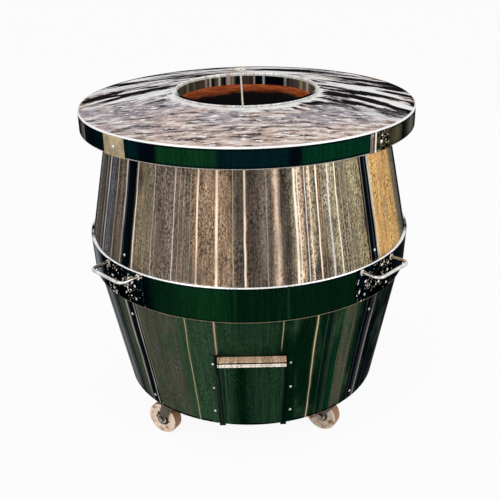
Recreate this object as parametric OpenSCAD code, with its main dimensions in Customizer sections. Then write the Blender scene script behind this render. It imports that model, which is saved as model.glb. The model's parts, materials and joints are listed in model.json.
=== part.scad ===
// Charcoal tandoor: a clay pot in an insulated stainless barrel, on four swivel casters.
// The origin is on the floor under the barrel's axis, +Z is up and the air door faces -Y.
// Angles round the barrel are counted from the front, -Y, towards +X.

/* [Top plate] */
// Radius of the top plate at its rim
plate_r = 430; // [425:5:480]
// Height that the plate climbs from its rim to the mouth
dome_rise = 23; // [8:1:40]
// Sheet thickness of the top plate and its skirt
plate_t = 2; // [1.5:0.5:3]
// Outer radius of the bend at the plate's rim
rim_bend_r = 4; // [4:0.5:8]
// Height of the rim, from the plate's edge to the skirt's foot
skirt_h = 51; // [35:1:80]
// Radius of the wired hem along the skirt's foot
hem_r = 2; // [1.5:0.25:3]

/* [Mouth] */
// Radius of the mouth inside its collar
mouth_r = 178; // [150:1:195]
// Wall of the mouth collar
collar_t = 2; // [1.5:0.5:3]
// Depth of the collar below the middle of its bead
collar_h = 28; // [22:1:45]
// Radius of the rolled bead round the mouth
bead_r = 4; // [3:0.5:6]

/* [Barrel] */
// Sheet thickness of the barrel
sheet_t = 1.5; // [1:0.25:2.5]
// Outer radius of the lower shell at its foot
base_r = 353; // [340:1:370]
// Height of the lower shell
lower_h = 338; // [320:1:380]
// Outer radius of the middle band at its foot
band_foot_r = 424; // [410:1:440]
// How much wider the band is at its top
band_flare = 4; // [0:1:10]
// Height of the middle band
band_h = 94; // [70:1:120]
// How far the band stands proud of the lower shell
band_step_low = 8; // [4:0.5:12]
// How far the band stands proud of the upper shell
band_step_top = 7; // [4:0.5:12]
// Width of the band's two inward flanges
band_flange_w = 24; // [18:1:30]
// Radius of the rounded fold along the band's top edge
band_fold_r = 3; // [2.5:0.25:5]
// Outer radius of the upper shell level with the plate's rim
upper_top_r = 355; // [335:1:370]
// Height from the band's top to the plate's rim
upper_h = 330; // [280:1:380]
// Width of the turned-in foot of the lower shell
foot_hem_w = 6; // [4:0.5:8]

/* [Cover strips and clips] */
// Angle of the cover strips and handles from the door or its opposite side
strip_az = 46; // [40:1:50]
// Width of a joint cover strip
strip_w = 32; // [24:1:45]
// Thickness of a joint cover strip
strip_t = 2; // [1:0.5:3]
// Distance of a strip's rivets from the strip's ends
strip_rivet_in = 24; // [14:1:40]
// Distance of a lower strip's upper rivet from the band
low_rivet_drop = 44; // [20:1:80]
// Height that the upper strips run up behind the skirt
strip_hidden_h = 12; // [6:1:24]
// Angle of the rim clips from the door or its opposite side
clip_az = 44; // [40:1:50]
// Width of a rim clip
clip_w = 74; // [50:1:90]
// Thickness of a rim clip
clip_t = 2; // [1.5:0.5:3]
// Height of a rim clip's screw above the skirt's foot
clip_screw_h = 22; // [12:1:28]

/* [Handles] */
// Distance between the middles of a handle's legs
handle_w = 120; // [100:1:140]
// Distance from the back plate to the middle of the grip
handle_out = 47; // [40:1:65]
// Diameter of the handle rod
handle_d = 9; // [8:0.5:12]
// Radius of the handle's bends, to the rod's middle
handle_bend_r = 15; // [12:0.5:20]
// Height of the handle below the band's top
handle_drop = 10; // [8:0.5:16]
// Width of a handle's back plate
handle_plate_w = 144; // [136:1:170]
// Thickness of a handle's back plate
handle_plate_t = 3; // [2:0.5:4]
// Margin of the back plate inside the band's edges
handle_plate_in = 4; // [3:0.5:8]
// Distance of the plate's rivets from its middle
handle_rivet_x = 45; // [35:1:50]
// Height of the back plate's lower rivets above the band's foot
handle_rivet_low = 20; // [14:1:26]
// Height of the back plate's upper rivets above the band's foot
handle_rivet_high = 55; // [36:1:56]

/* [Air door] */
// Width of the air opening
air_w = 120; // [90:1:130]
// Height of the air opening
air_h = 110; // [90:1:115]
// Width of the shutter
shutter_w = 165; // [160:1:175]
// Thickness of the shutter plate
shutter_t = 2; // [1.5:0.5:3]
// Height of the shutter's shelf above the barrel's foot, up the slope
shelf_s = 238; // [225:1:250]
// Height of the shutter's foot above the barrel's foot, up the slope
shutter_foot_s = 8; // [5:1:20]
// Depth of the shutter's pull shelf
shelf_d = 25; // [18:1:32]
// Height of the lip turned down from the shelf
lip_h = 15; // [10:0.5:20]
// Outer radius of the shutter's folds
fold_r = 4; // [3.5:0.5:6]
// Gap between the shutter and the nearest point of the shell
shutter_gap = 1; // [0.6:0.1:2]
// Sheet thickness of the guides
guide_t = 1.5; // [1:0.25:2.5]
// How far each guide laps over the shutter's edge
guide_lap = 13; // [8:1:18]
// Width of the guides' riveted flanges
guide_flange_w = 20; // [16:1:26]
// Height of the lowest guide rivet up the slope
guide_rivet_s = 44; // [20:1:60]
// Spacing of the guide rivets up the slope
guide_rivet_pitch = 81; // [60:1:84]
// Number of rivets in each guide
guide_rivets_n = 3; // [2:1:3]
// Sheet thickness of the air duct
duct_t = 1.5; // [1:0.25:2.5]

/* [Clay pot] */
// Wall of the clay pot
pot_wall = 42; // [35:1:50]
// Step from the collar's bore in to the clay lip
pot_lip_step = 4; // [2:0.5:8]
// Inner radius of the pot at its belly
pot_belly_r = 255; // [235:1:262]
// Inner radius of the pot at its foot
pot_foot_r = 205; // [190:1:225]
// Height of the belly above the pot's foot
pot_belly_h = 270; // [220:5:340]
// Height of the refractory bed under the pot
bed_h = 25; // [20:1:35]
// Radius of the refractory bed
bed_r = 300; // [280:1:315]
// Width of the refractory ring round the neck
neck_seal_w = 45; // [35:1:55]

/* [Fire grate] */
// Radius of the fire grate
grate_r = 165; // [140:1:170]
// Thickness of the grate's bars
grate_t = 12; // [8:1:16]
// Width of one grate bar
grate_bar_w = 10; // [8:0.5:12]
// Spacing of the grate bars
grate_pitch = 26; // [22:1:32]
// Height of the grate's feet
grate_foot_h = 118; // [118:1:150]
// Radius of one grate foot
grate_foot_r = 8; // [6:0.5:10]

/* [Base] */
// Side of the square tubes of the base cross
tube_w = 25; // [20:1:32]
// Wall of the square tubes
tube_t = 2; // [1.5:0.5:3]
// Thickness of the rolled ring round the base cross
ring_t = 4; // [3:0.5:6]
// Thickness of the base plate
base_plate_t = 3; // [2:0.5:5]
// Side of the mounting pads over the casters
pad_w = 76; // [72:1:84]
// Thickness of the mounting pads
pad_t = 4; // [3:0.5:6]

/* [Casters] */
// Diameter of a caster wheel
wheel_d = 90; // [75:1:100]
// Width of a caster wheel
wheel_w = 32; // [28:1:36]
// Radius of the wheel's rounded shoulders
wheel_round = 5; // [3:0.5:8]
// Depth of the dish in the wheel's sides
wheel_dish = 4; // [2:0.5:6]
// How far the hub stands past each side of the wheel
hub_proud = 1; // [0.5:0.5:2]
// Radius of the wheel's hub
hub_r = 14; // [12:0.5:16]
// Diameter of the wheel axle
axle_d = 8; // [6:0.5:10]
// Distance of each swivel axis inside the barrel's foot
swivel_in = 43; // [41:1:60]
// Distance of the wheel's axle behind the swivel axis
trail = 28; // [20:1:32]
// Turn of each caster at rest, from +X
caster_yaw = 58; // [0:1:360]
// Side of the caster's square top plate
caster_plate_w = 66; // [64:1:70]
// Thickness of the caster's top plate
caster_plate_t = 3.5; // [3:0.5:5]
// Spacing of the caster bolts
bolt_pitch = 50; // [48:0.5:52]
// Diameter of the caster bolts
bolt_d = 8; // [6:0.5:8]
// Height of the ball race under the top plate
race_h = 8.5; // [6:0.5:12]
// Radius of the ball race
race_r = 24; // [20:0.5:27]
// Height of the fork's own half of the race
fork_race_h = 4.7; // [3:0.1:6]
// Thickness of the fork's sheet
fork_t = 3; // [2.5:0.5:4]
// Width of the fork's legs at the crown
fork_top_w = 42; // [36:1:46]
// Diameter of the kingpin
pin_d = 10; // [8:0.5:12]
// Height of the kingpin's head
pin_head_h = 3; // [2:0.5:4]
// Room between the kingpin's head and the wheel
wheel_clear = 6.7; // [4:0.1:12]

/* [Skewer] */
// Diameter of the skewer lying over the mouth
skewer_d = 5; // [4:0.5:8]
// Distance that the skewer reaches past the mouth at the front
skewer_front = 34; // [30:1:90]
// Distance that the skewer reaches past the mouth at the back
skewer_back = 20; // [15:1:60]
// Distance of the skewer to the left of the mouth's middle
skewer_x = 12; // [0:1:60]
// Turn of the skewer from the front-back line
skewer_turn = 0.9; // [-6:0.1:6]
// Radius of the skewer's eye, to the rod's middle
eye_r = 13; // [10:0.5:18]

/* [Fits] */
// Gap between a skin and what it lies on
skin_gap = 0.3; // [0.2:0.05:0.5]
// Radial running clearance of pins and axles
run_fit = 0.05; // [0.03:0.01:0.1]
// Running gap between flat faces that move past each other
run_gap = 0.4; // [0.3:0.1:0.6]

/* [Hidden] */
// Facets of a large ring, a small round and a fastener on screen
big_fn = 144;
round_fn = 48;
small_fn = 24;
hex_fn = 6;
// Reach of a cutting block past the body that it cuts
over = 1;
// Lift of a flat foot or head off the face that it rests on
seat_lift = 0.05;
// Heads, shanks and nuts
rivet_r = 4;
rivet_h = 2.2;
rivet_shank_r = 2.4;
rivet_hole_r = rivet_shank_r + run_fit;
screw_r = 4.5;
screw_h = 2.6;
screw_slot_w = 1.2;
skewer_tip_h = 20;
skewer_tip_r = 0.7;
bolt_head_r = 7.5;
bolt_head_h = 5.3;
nut_h = 6.5;
bolt_end_h = 3;
axle_head_r = 7;
axle_head_h = 4.5;
weld_r = 2.5;
weld_h = 3.5;
// Fork head: heights that stack up over the wheel
fork_head_h = caster_plate_t + race_h + skin_gap + fork_race_h + fork_t + skin_gap
    + pin_head_h + wheel_clear;
wheel_r = wheel_d / 2;
hub_w = wheel_w + 2 * hub_proud;
fork_in = hub_w + 2 * run_gap;
fork_foot_r = 10;
crown_lip = 3;
crown_r = race_r + crown_lip;
pin_head_lip = 4;
pin_head_r = pin_d / 2 + pin_head_lip;
// Heights of the barrel, from the floor
base_z = wheel_d + fork_head_h;
band_z = base_z + lower_h;
band_top_z = band_z + band_h;
rim_z = band_top_z + upper_h;
skirt_z = rim_z - skirt_h;
bead_z = rim_z + dome_rise + skin_gap + bead_r;
floor_z = base_z + tube_w;
bed_z = floor_z + base_plate_t;
pot_z = bed_z + bed_h;
lip_z = bead_z - collar_h - skin_gap;
pot_h = lip_z - pot_z;
pot_mouth_r = mouth_r - pot_lip_step;
pot_steps = 22;
fold_z = band_top_z - band_fold_r;
// Radii where the two shells meet the band
lower_top_r = band_foot_r - band_step_low;
band_top_r = band_foot_r + band_flare;
upper_foot_r = band_top_r - band_step_top;
// Slopes of the two shells and the band, and their tilt from upright
low_run = (lower_top_r - base_r) / lower_h;
low_tilt = atan(low_run);
up_run = (upper_top_r - upper_foot_r) / upper_h;
up_tilt = atan(up_run);
band_run = band_flare / (band_h - band_fold_r);
band_tilt = atan(band_run);
band_in_r = band_foot_r - band_flange_w;
plate_in_r = mouth_r + collar_t + skin_gap;
far_r = plate_r + clip_t + handle_out;
// Corners round the barrel: front left, front right, rear right, rear left
CORNERS = [-1, 1, 1, -1];
function quarter(i, az) = CORNERS[i] * (i < 2 ? az : 180 - az);
swivel_az = 45;
swivel_r = base_r - swivel_in;
// Radius of each skin at a height
function low_r(z) = base_r + low_run * (z - base_z);
function up_r(z) = upper_foot_r + up_run * (z - band_top_z);
function band_r(z) = band_foot_r + band_run * (min(z, fold_z) - band_z);
// Height of the plate's top face at a radius, and of its underside
function plate_top(r) = rim_z + dome_rise * (plate_r - r) / (plate_r - plate_in_r);
function plate_under(r) = plate_top(r) - plate_t;
// Height at which the upper shell ends, under the plate
shell_top_z = plate_under(up_r(rim_z)) - skin_gap;
// Inner radius of the clay pot at a height above its foot: it swells to the belly, then
// draws in to the mouth
function pot_in(h) = h < pot_belly_h
    ? pot_foot_r + (pot_belly_r - pot_foot_r) * sin(90 * h / pot_belly_h)
    : pot_mouth_r + (pot_belly_r - pot_mouth_r)
        * (1 + cos(180 * (h - pot_belly_h) / (pot_h - pot_belly_h))) / 2;
function pot_line(out) = [for (i = [0:pot_steps])
    [pot_in(pot_h * i / pot_steps) + out, pot_z + pot_h * i / pot_steps]];
function flip(list) = [for (i = [len(list) - 1:-1:0]) list[i]];
// Air opening: its sill stands a duct wall over the bed
air_z = pot_z + duct_t + skin_gap;
// Guide and shutter places up the slope and away from it
shutter_in = shutter_gap;
shutter_out = shutter_gap + shutter_t;
guide_in = shutter_out + run_gap;
guide_x = shutter_w / 2 + 2 * run_gap;
guide_foot_s = shutter_foot_s / 2;
guide_top_s = shelf_s - fold_r - skin_gap;
guide_rivet_x = guide_x + guide_t + guide_flange_w / 2;
// Handle places
handle_z = band_top_z - handle_drop;
handle_lift = skin_gap + handle_plate_t;
handle_rivet_z = [band_z + handle_rivet_low, band_z + handle_rivet_high];
// Depth at which a handle's legs meet the curved back plate, behind its foremost line
plate_face_r = band_r(handle_z) + handle_lift;
handle_r = plate_face_r + handle_out;
leg_sink = plate_face_r - sqrt(pow(plate_face_r, 2) - pow(handle_w / 2 + handle_d, 2));
// Rivet heights on the strips
low_strip_z = [base_z + 2 * strip_t, band_z - strip_t];
up_strip_z = [band_top_z + strip_t, skirt_z + strip_hidden_h];
low_rivet_z = [low_strip_z[0] + strip_rivet_in, band_z - low_rivet_drop];
up_rivet_z = [up_strip_z[0] + strip_rivet_in, skirt_z - strip_rivet_in];
// Skewer height over the bead
skewer_z = bead_z + bead_r + skin_gap + skewer_d / 2;

// ---- shared shapes ----

// Stands its children at an angle round the barrel, at a radius and a height
module round_at(az, r, z) {
    rotate([0, 0, az]) translate([0, -r, z]) children();
}

// Stands its children on a sloping skin, with +Z pointing straight out of the skin
module on_skin(az, r, z, tilt) {
    round_at(az, r, z) rotate([90 + tilt, 0, 0]) children();
}

// Sloping frame of the air door: +Z runs up the shell's front and -Y points out of it
module on_door() {
    translate([0, -base_r, base_z]) rotate([low_tilt, 0, 0]) children();
}

// A sheet ring between two heights, lifted off the skin that the radii give
module skin_ring(r0, z0, r1, z1, lift, t) {
    rotate_extrude($fn = big_fn) polygon([[r0 + lift, z0], [r0 + lift + t, z0],
        [r1 + lift + t, z1], [r1 + lift, z1]]);
}

// The slab round the barrel's axis that cuts a patch out of such a ring
module slab(az, w, z0, z1) {
    rotate([0, 0, az]) translate([-w / 2, -far_r, z0 - over])
        cube([w, far_r, z1 - z0 + 2 * over]);
}

// The lower shell's outer cone as a solid, lifted by a gap
module low_solid(lift) {
    translate([0, 0, base_z - tube_w])
        cylinder(h = lower_h + tube_w, r1 = low_r(base_z - tube_w) + lift,
            r2 = lower_top_r + lift, $fn = big_fn);
}

// The band's outer cone as a solid, lifted by a gap
module band_solid(lift) {
    translate([0, 0, band_z]) cylinder(h = band_h - band_fold_r, r1 = band_foot_r + lift,
        r2 = band_top_r + lift, $fn = big_fn);
    translate([0, 0, fold_z])
        cylinder(h = band_fold_r, r = band_top_r + lift, $fn = big_fn);
}

// Quarter of a folded sheet in section, turning from +X towards +Y
module fold_2d(r, t) {
    intersection() {
        difference() {
            circle(r, $fn = round_fn);
            circle(r - t, $fn = round_fn);
        }
        square(r);
    }
}

// Domed head with its shank behind it
module stud(r, h, shank_r, shank_l) {
    ball_r = (r * r + h * h) / (2 * h);
    intersection() {
        translate([0, 0, h - ball_r]) sphere(ball_r, $fn = round_fn);
        cylinder(h = h, r = r, $fn = small_fn);
    }
    translate([0, 0, -shank_l]) cylinder(h = shank_l + h / 2, r = shank_r, $fn = small_fn);
}

// Drilled hole for such a shank, through a sheet of thickness t
module stud_hole(t) {
    translate([0, 0, -t - over]) cylinder(h = t + 2 * over, r = rivet_hole_r, $fn = small_fn);
}

// ---- top plate and rim ----

module top_plate() {
    bend_z = rim_z - rim_bend_r;
    bend_in = plate_r - rim_bend_r;
    color("lightgray") rotate_extrude($fn = big_fn) {
        polygon([[plate_in_r, plate_under(plate_in_r)], [plate_in_r, plate_top(plate_in_r)],
            [bend_in, rim_z], [bend_in, rim_z - plate_t]]);
        translate([bend_in, bend_z]) fold_2d(rim_bend_r, plate_t);
    }
}

module rim_skirt() {
    wall_h = skirt_h - rim_bend_r - hem_r;
    color("gray") rotate_extrude($fn = big_fn) {
        translate([plate_r - plate_t, skirt_z + hem_r]) square([plate_t, wall_h]);
        translate([plate_r - hem_r, skirt_z + hem_r]) circle(hem_r, $fn = small_fn);
    }
}

// Places of the four rim clip screws
module at_clip_screws() {
    for (i = [0:3])
        on_skin(quarter(i, clip_az), plate_r + skin_gap + clip_t + seat_lift,
            skirt_z + clip_screw_h, 0) children();
}

module rim_clip(az) {
    z1 = rim_z - rim_bend_r;
    color("tan") difference() {
        intersection() {
            skin_ring(plate_r, skirt_z, plate_r, z1, skin_gap, clip_t);
            slab(az, clip_w, skirt_z, z1);
        }
        at_clip_screws() stud_hole(clip_t);
    }
}

module rim_clip_screws() {
    color("silver") at_clip_screws() difference() {
        stud(screw_r, screw_h, rivet_shank_r, clip_t);
        translate([-screw_r, -screw_slot_w / 2, screw_h / 2])
            cube([2 * screw_r, screw_slot_w, screw_h]);
    }
}

module mouth_collar() {
    color("silver") rotate_extrude($fn = big_fn) {
        translate([mouth_r, bead_z - collar_h]) square([collar_t, collar_h]);
        translate([mouth_r + bead_r, bead_z]) circle(bead_r, $fn = round_fn);
    }
}

// ---- barrel ----

module upper_shell() {
    color("darkkhaki") skin_ring(upper_foot_r, band_top_z, up_r(shell_top_z), shell_top_z,
        -sheet_t, sheet_t);
}

module middle_band() {
    fold_in = band_top_r - band_fold_r;
    color("darkslategray") rotate_extrude($fn = big_fn) {
        // wall, from the low flange to the fold
        polygon([[band_foot_r - sheet_t, band_z], [band_foot_r, band_z],
            [band_top_r, fold_z], [band_top_r - sheet_t, fold_z]]);
        translate([fold_in, fold_z]) fold_2d(band_fold_r, sheet_t);
        // flanges that carry the upper shell and cap the lower one
        translate([band_in_r, band_top_z - sheet_t]) square([fold_in - band_in_r, sheet_t]);
        translate([band_in_r, band_z])
            square([band_foot_r - sheet_t / 2 - band_in_r, sheet_t]);
    }
}

module lower_shell() {
    hem_z = base_z - sheet_t;
    cut_w = air_w + 2 * (duct_t + skin_gap);
    color("darkolivegreen") difference() {
        rotate_extrude($fn = big_fn) {
            polygon([[low_r(hem_z) - sheet_t, hem_z], [low_r(hem_z), hem_z],
                [lower_top_r, band_z], [lower_top_r - sheet_t, band_z]]);
            translate([low_r(hem_z) - sheet_t - foot_hem_w, hem_z])
                square([foot_hem_w + sheet_t / 2, sheet_t]);
        }
        translate([-cut_w / 2, -far_r, air_z - duct_t - skin_gap])
            cube([cut_w, far_r - pot_foot_r, air_h + 2 * (duct_t + skin_gap)]);
    }
}

// Rivets of the strips on one corner of the barrel
module at_low_rivets(az) {
    for (z = low_rivet_z)
        on_skin(az, low_r(z) + skin_gap + strip_t + seat_lift, z, low_tilt) children();
}

module at_up_rivets(az) {
    for (z = up_rivet_z)
        on_skin(az, up_r(z) + skin_gap + strip_t + seat_lift, z, up_tilt) children();
}

module upper_strip(az) {
    z0 = up_strip_z[0];
    z1 = up_strip_z[1];
    color("dimgray") difference() {
        intersection() {
            skin_ring(up_r(z0), z0, up_r(z1), z1, skin_gap, strip_t);
            slab(az, strip_w, z0, z1);
        }
        at_up_rivets(az) stud_hole(strip_t);
    }
}

module lower_strip(az) {
    z0 = low_strip_z[0];
    z1 = low_strip_z[1];
    color("dimgray") difference() {
        intersection() {
            skin_ring(low_r(z0), z0, low_r(z1), z1, skin_gap, strip_t);
            slab(az, strip_w, z0, z1);
        }
        at_low_rivets(az) stud_hole(strip_t);
    }
}

module strip_rivets() {
    color("silver") for (i = [0:3]) {
        at_up_rivets(quarter(i, strip_az)) stud(rivet_r, rivet_h, rivet_shank_r, strip_t);
        at_low_rivets(quarter(i, strip_az)) stud(rivet_r, rivet_h, rivet_shank_r, strip_t);
    }
}

// ---- handles ----

// Rivets of one handle's back plate, straight out from the plate's middle line
module at_handle_rivets(az) {
    turn = asin(handle_rivet_x / band_r(handle_z));
    for (side = [-1, 1], z = handle_rivet_z)
        on_skin(az + side * turn, band_r(z) + handle_lift + seat_lift, z, band_tilt)
            children();
}

module handle_plate(az) {
    z0 = band_z + handle_plate_in;
    z1 = band_top_z - max(handle_plate_in, band_fold_r);
    color("darkslategray") difference() {
        intersection() {
            skin_ring(band_r(z0), z0, band_r(z1), z1, skin_gap, handle_plate_t);
            slab(az, handle_plate_w, z0, z1);
        }
        at_handle_rivets(az) stud_hole(handle_plate_t);
    }
}

module handle_rivets() {
    color("silver") for (i = [0:3])
        at_handle_rivets(quarter(i, strip_az))
            stud(rivet_r, rivet_h, rivet_shank_r, handle_plate_t);
}

// Half of the U: a leg with its weld, one bend and half of the grip, on the +X side
module handle_half() {
    leg = handle_out - handle_bend_r + leg_sink;
    rod_r = handle_d / 2;
    bend_x = handle_w / 2 - handle_bend_r;
    translate([handle_w / 2, handle_bend_r, 0]) rotate([-90, 0, 0])
        cylinder(h = leg, r = rod_r, $fn = round_fn);
    translate([handle_w / 2, handle_out, 0]) rotate([90, 0, 0])
        cylinder(h = weld_h, r1 = rod_r + weld_r, r2 = rod_r, $fn = round_fn);
    translate([handle_w / 2, handle_out - over / 2, 0]) rotate([-90, 0, 0])
        cylinder(h = leg_sink + over, r = rod_r + weld_r, $fn = round_fn);
    translate([bend_x, handle_bend_r, 0]) rotate([0, 0, -90])
        rotate_extrude(angle = 90, $fn = round_fn)
            translate([handle_bend_r, 0]) circle(rod_r, $fn = round_fn);
    rotate([0, 90, 0]) cylinder(h = bend_x, r = rod_r, $fn = round_fn);
}

module handle(az) {
    color("silver") difference() {
        round_at(az, handle_r, handle_z) {
            handle_half();
            mirror([1, 0, 0]) handle_half();
        }
        band_solid(handle_lift + skin_gap);
    }
}

// ---- air door ----

// The shutter in section: X runs out from the shell, Y up the slope
module shutter_2d() {
    top = shelf_s - fold_r;
    far = shutter_in + shelf_d;
    translate([shutter_in, shutter_foot_s]) square([shutter_t, top - shutter_foot_s]);
    translate([shutter_in + fold_r, top]) mirror([1, 0]) fold_2d(fold_r, shutter_t);
    translate([shutter_in + fold_r, shelf_s - shutter_t])
        square([shelf_d - 2 * fold_r, shutter_t]);
    translate([far - fold_r, top]) fold_2d(fold_r, shutter_t);
    translate([far - shutter_t, shelf_s - lip_h]) square([shutter_t, lip_h - fold_r]);
}

module air_shutter() {
    color("darkgreen") on_door() rotate([90, 0, -90])
        linear_extrude(height = shutter_w, center = true) shutter_2d();
}

// Rivets of one guide's flange
module at_guide_rivets(side) {
    for (i = [0:guide_rivets_n - 1]) {
        z = base_z + (guide_rivet_s + i * guide_rivet_pitch) * cos(low_tilt);
        r = low_r(z) + skin_gap + guide_t + seat_lift;
        on_skin(side * asin(guide_rivet_x / r), r, z, low_tilt) children();
    }
}

module shutter_guide(side) {
    len_s = guide_top_s - guide_foot_s;
    web_x = guide_x + guide_t;
    front_w = guide_lap + 2 * run_gap + guide_t;
    deep = guide_x;
    z0 = base_z + guide_foot_s * cos(low_tilt);
    z1 = base_z + guide_top_s * cos(low_tilt);
    color("slategray") difference() {
        union() {
            difference() {
                on_door() mirror([side < 0 ? 1 : 0, 0, 0]) {
                    translate([web_x - front_w, -guide_in - guide_t, guide_foot_s])
                        cube([front_w, guide_t, len_s]);
                    translate([guide_x, -guide_in - guide_t, guide_foot_s])
                        cube([guide_t, deep, len_s]);
                }
                low_solid(skin_gap + guide_t / 2);
            }
            intersection() {
                skin_ring(low_r(z0), z0, low_r(z1), z1, skin_gap, guide_t);
                mirror([side < 0 ? 1 : 0, 0, 0])
                    translate([guide_x + guide_t / 2, -far_r, base_z])
                        cube([guide_t / 2 + guide_flange_w, far_r, lower_h]);
            }
        }
        at_guide_rivets(side) stud_hole(guide_t);
    }
}

module guide_rivets() {
    color("silver") for (side = [-1, 1])
        at_guide_rivets(side) stud(rivet_r, rivet_h, rivet_shank_r, guide_t);
}

// Block of the air opening, grown by a wall, from the middle to beyond the shell
module air_block(grow) {
    translate([-air_w / 2 - grow, -far_r, air_z - grow])
        cube([air_w + 2 * grow, far_r, air_h + 2 * grow]);
}

// The pot's outer shape as a solid, grown by a gap
module pot_solid(grow) {
    rotate_extrude($fn = big_fn)
        polygon(concat([[0, pot_z]], pot_line(pot_wall + grow), [[0, lip_z]]));
}

module air_duct() {
    color("dimgray") intersection() {
        difference() {
            air_block(duct_t);
            air_block(0);
            pot_solid(skin_gap);
        }
        low_solid(0);
    }
}

// ---- pot and fill ----

module clay_pot() {
    color("sienna") difference() {
        rotate_extrude($fn = big_fn)
            polygon(concat(pot_line(0), flip(pot_line(pot_wall))));
        // the fire hole stands open down to the pot's foot
        translate([-air_w / 2, -far_r, pot_z - over])
            cube([air_w, far_r, air_z + air_h - pot_z + over]);
    }
}

module insulation() {
    gap = skin_gap;
    seal_r = mouth_r + neck_seal_w + gap;
    shell_r = up_r(shell_top_z) - sheet_t - 2 * gap;
    pot_out = [for (p = flip(pot_line(pot_wall + gap))) if (p[0] < bed_r) p];
    color("khaki") difference() {
        rotate_extrude($fn = big_fn) polygon(concat(
            [[bed_r + gap, bed_z + gap], [low_r(bed_z) - sheet_t - gap, bed_z + gap],
                [low_r(band_z) - sheet_t - gap, band_z - gap],
                [band_in_r - gap, band_z - gap], [band_in_r - gap, band_top_z + gap],
                [upper_foot_r - sheet_t - 2 * gap, band_top_z + gap],
                [shell_r, shell_top_z],
                [seal_r, plate_under(seal_r) - gap], [seal_r, lip_z]],
            pot_out,
            [[bed_r + gap, pot_z + gap]]));
        air_block(duct_t + gap);
    }
}

module refractory_bed() {
    color("lightslategray") translate([0, 0, bed_z])
        cylinder(h = bed_h, r = bed_r, $fn = big_fn);
}

module neck_seal() {
    out_r = mouth_r + neck_seal_w;
    color("gainsboro") rotate_extrude($fn = big_fn)
        polygon([[plate_in_r, lip_z], [out_r, lip_z],
            [out_r, plate_under(out_r) - skin_gap],
            [plate_in_r, plate_under(plate_in_r) - skin_gap]]);
}

module fire_grate() {
    rows = floor((grate_r - grate_bar_w) / grate_pitch);
    feet_r = grate_r - grate_foot_r;
    color("dimgray") translate([0, 0, pot_z + seat_lift + grate_foot_h]) {
        difference() {
            cylinder(h = grate_t, r = grate_r, $fn = big_fn);
            translate([0, 0, -over])
                cylinder(h = grate_t + 2 * over, r = grate_r - 2 * grate_foot_r, $fn = big_fn);
        }
        intersection() {
            cylinder(h = grate_t, r = feet_r, $fn = big_fn);
            for (i = [-rows:rows])
                translate([i * grate_pitch - grate_bar_w / 2, -grate_r, 0])
                    cube([grate_bar_w, 2 * grate_r, grate_t]);
        }
        for (i = [0:3])
            round_at(quarter(i, swivel_az), feet_r, -grate_foot_h)
                cylinder(h = grate_foot_h + grate_t / 2, r = grate_foot_r, $fn = small_fn);
    }
}

// ---- base ----

module base_plate() {
    color("dimgray") translate([0, 0, floor_z])
        cylinder(h = base_plate_t, r = low_r(floor_z) - sheet_t - skin_gap, $fn = big_fn);
}

// Places of one caster's swivel axis and of its four bolts
module at_swivel(i) {
    round_at(quarter(i, swivel_az), swivel_r, 0) children();
}

module at_bolts(i) {
    at_swivel(i) for (x = [-1, 1], y = [-1, 1])
        translate([x * bolt_pitch / 2, y * bolt_pitch / 2, 0]) children();
}

// Two crossed square tubes, solid or bored out
module cross(inset) {
    side = tube_w - 2 * inset;
    for (turn = [swivel_az, -swivel_az])
        rotate([0, 0, turn]) translate([-side / 2, -base_r, base_z + inset])
            cube([side, 2 * base_r, side]);
}

module base_frame() {
    ring_z = base_z + tube_w;
    lift = -sheet_t - skin_gap - ring_t;
    color("black") difference() {
        union() {
            skin_ring(base_r, base_z, low_r(ring_z), ring_z, lift, ring_t);
            intersection() {
                union() {
                    difference() {
                        cross(0);
                        cross(tube_t);
                    }
                    for (i = [0:3])
                        at_swivel(i) translate([-pad_w / 2, -pad_w / 2, base_z])
                            cube([pad_w, pad_w, pad_t]);
                }
                translate([0, 0, base_z])
                    cylinder(h = tube_w, r1 = base_r + lift + ring_t / 2,
                        r2 = low_r(ring_z) + lift + ring_t / 2, $fn = big_fn);
            }
        }
        for (i = [0:3])
            at_bolts(i) translate([0, 0, base_z - over])
                cylinder(h = pad_t + 2 * over, r = bolt_d / 2 + run_fit, $fn = small_fn);
    }
}

// ---- casters ----

module caster_top(i) {
    race_z = base_z - caster_plate_t - race_h;
    head_z = race_z - 2 * skin_gap - fork_race_h - fork_t - pin_head_h;
    color("silver") difference() {
        at_swivel(i) {
            translate([-caster_plate_w / 2, -caster_plate_w / 2, base_z - caster_plate_t])
                cube([caster_plate_w, caster_plate_w, caster_plate_t]);
            translate([0, 0, race_z]) cylinder(h = race_h, r1 = race_r,
                r2 = race_r + fork_t, $fn = round_fn);
            translate([0, 0, head_z]) cylinder(h = race_z - head_z, r = pin_d / 2, $fn = round_fn);
            translate([0, 0, head_z]) cylinder(h = pin_head_h, r = pin_head_r, $fn = round_fn);
        }
        at_bolts(i) translate([0, 0, base_z - caster_plate_t - over])
            cylinder(h = caster_plate_t + 2 * over, r = bolt_d / 2 + run_fit, $fn = small_fn);
    }
}

// Stands its children in one caster's own frame: the swivel on Z, the axle along X at
// the trail behind it
module in_caster(i) {
    at_swivel(i) rotate([0, 0, caster_yaw - quarter(i, swivel_az)]) children();
}

// A pin along the axle, centred on the wheel
module along_axle(r, l, fn) {
    translate([-l / 2, trail, wheel_r]) rotate([0, 90, 0]) cylinder(h = l, r = r, $fn = fn);
}

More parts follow.
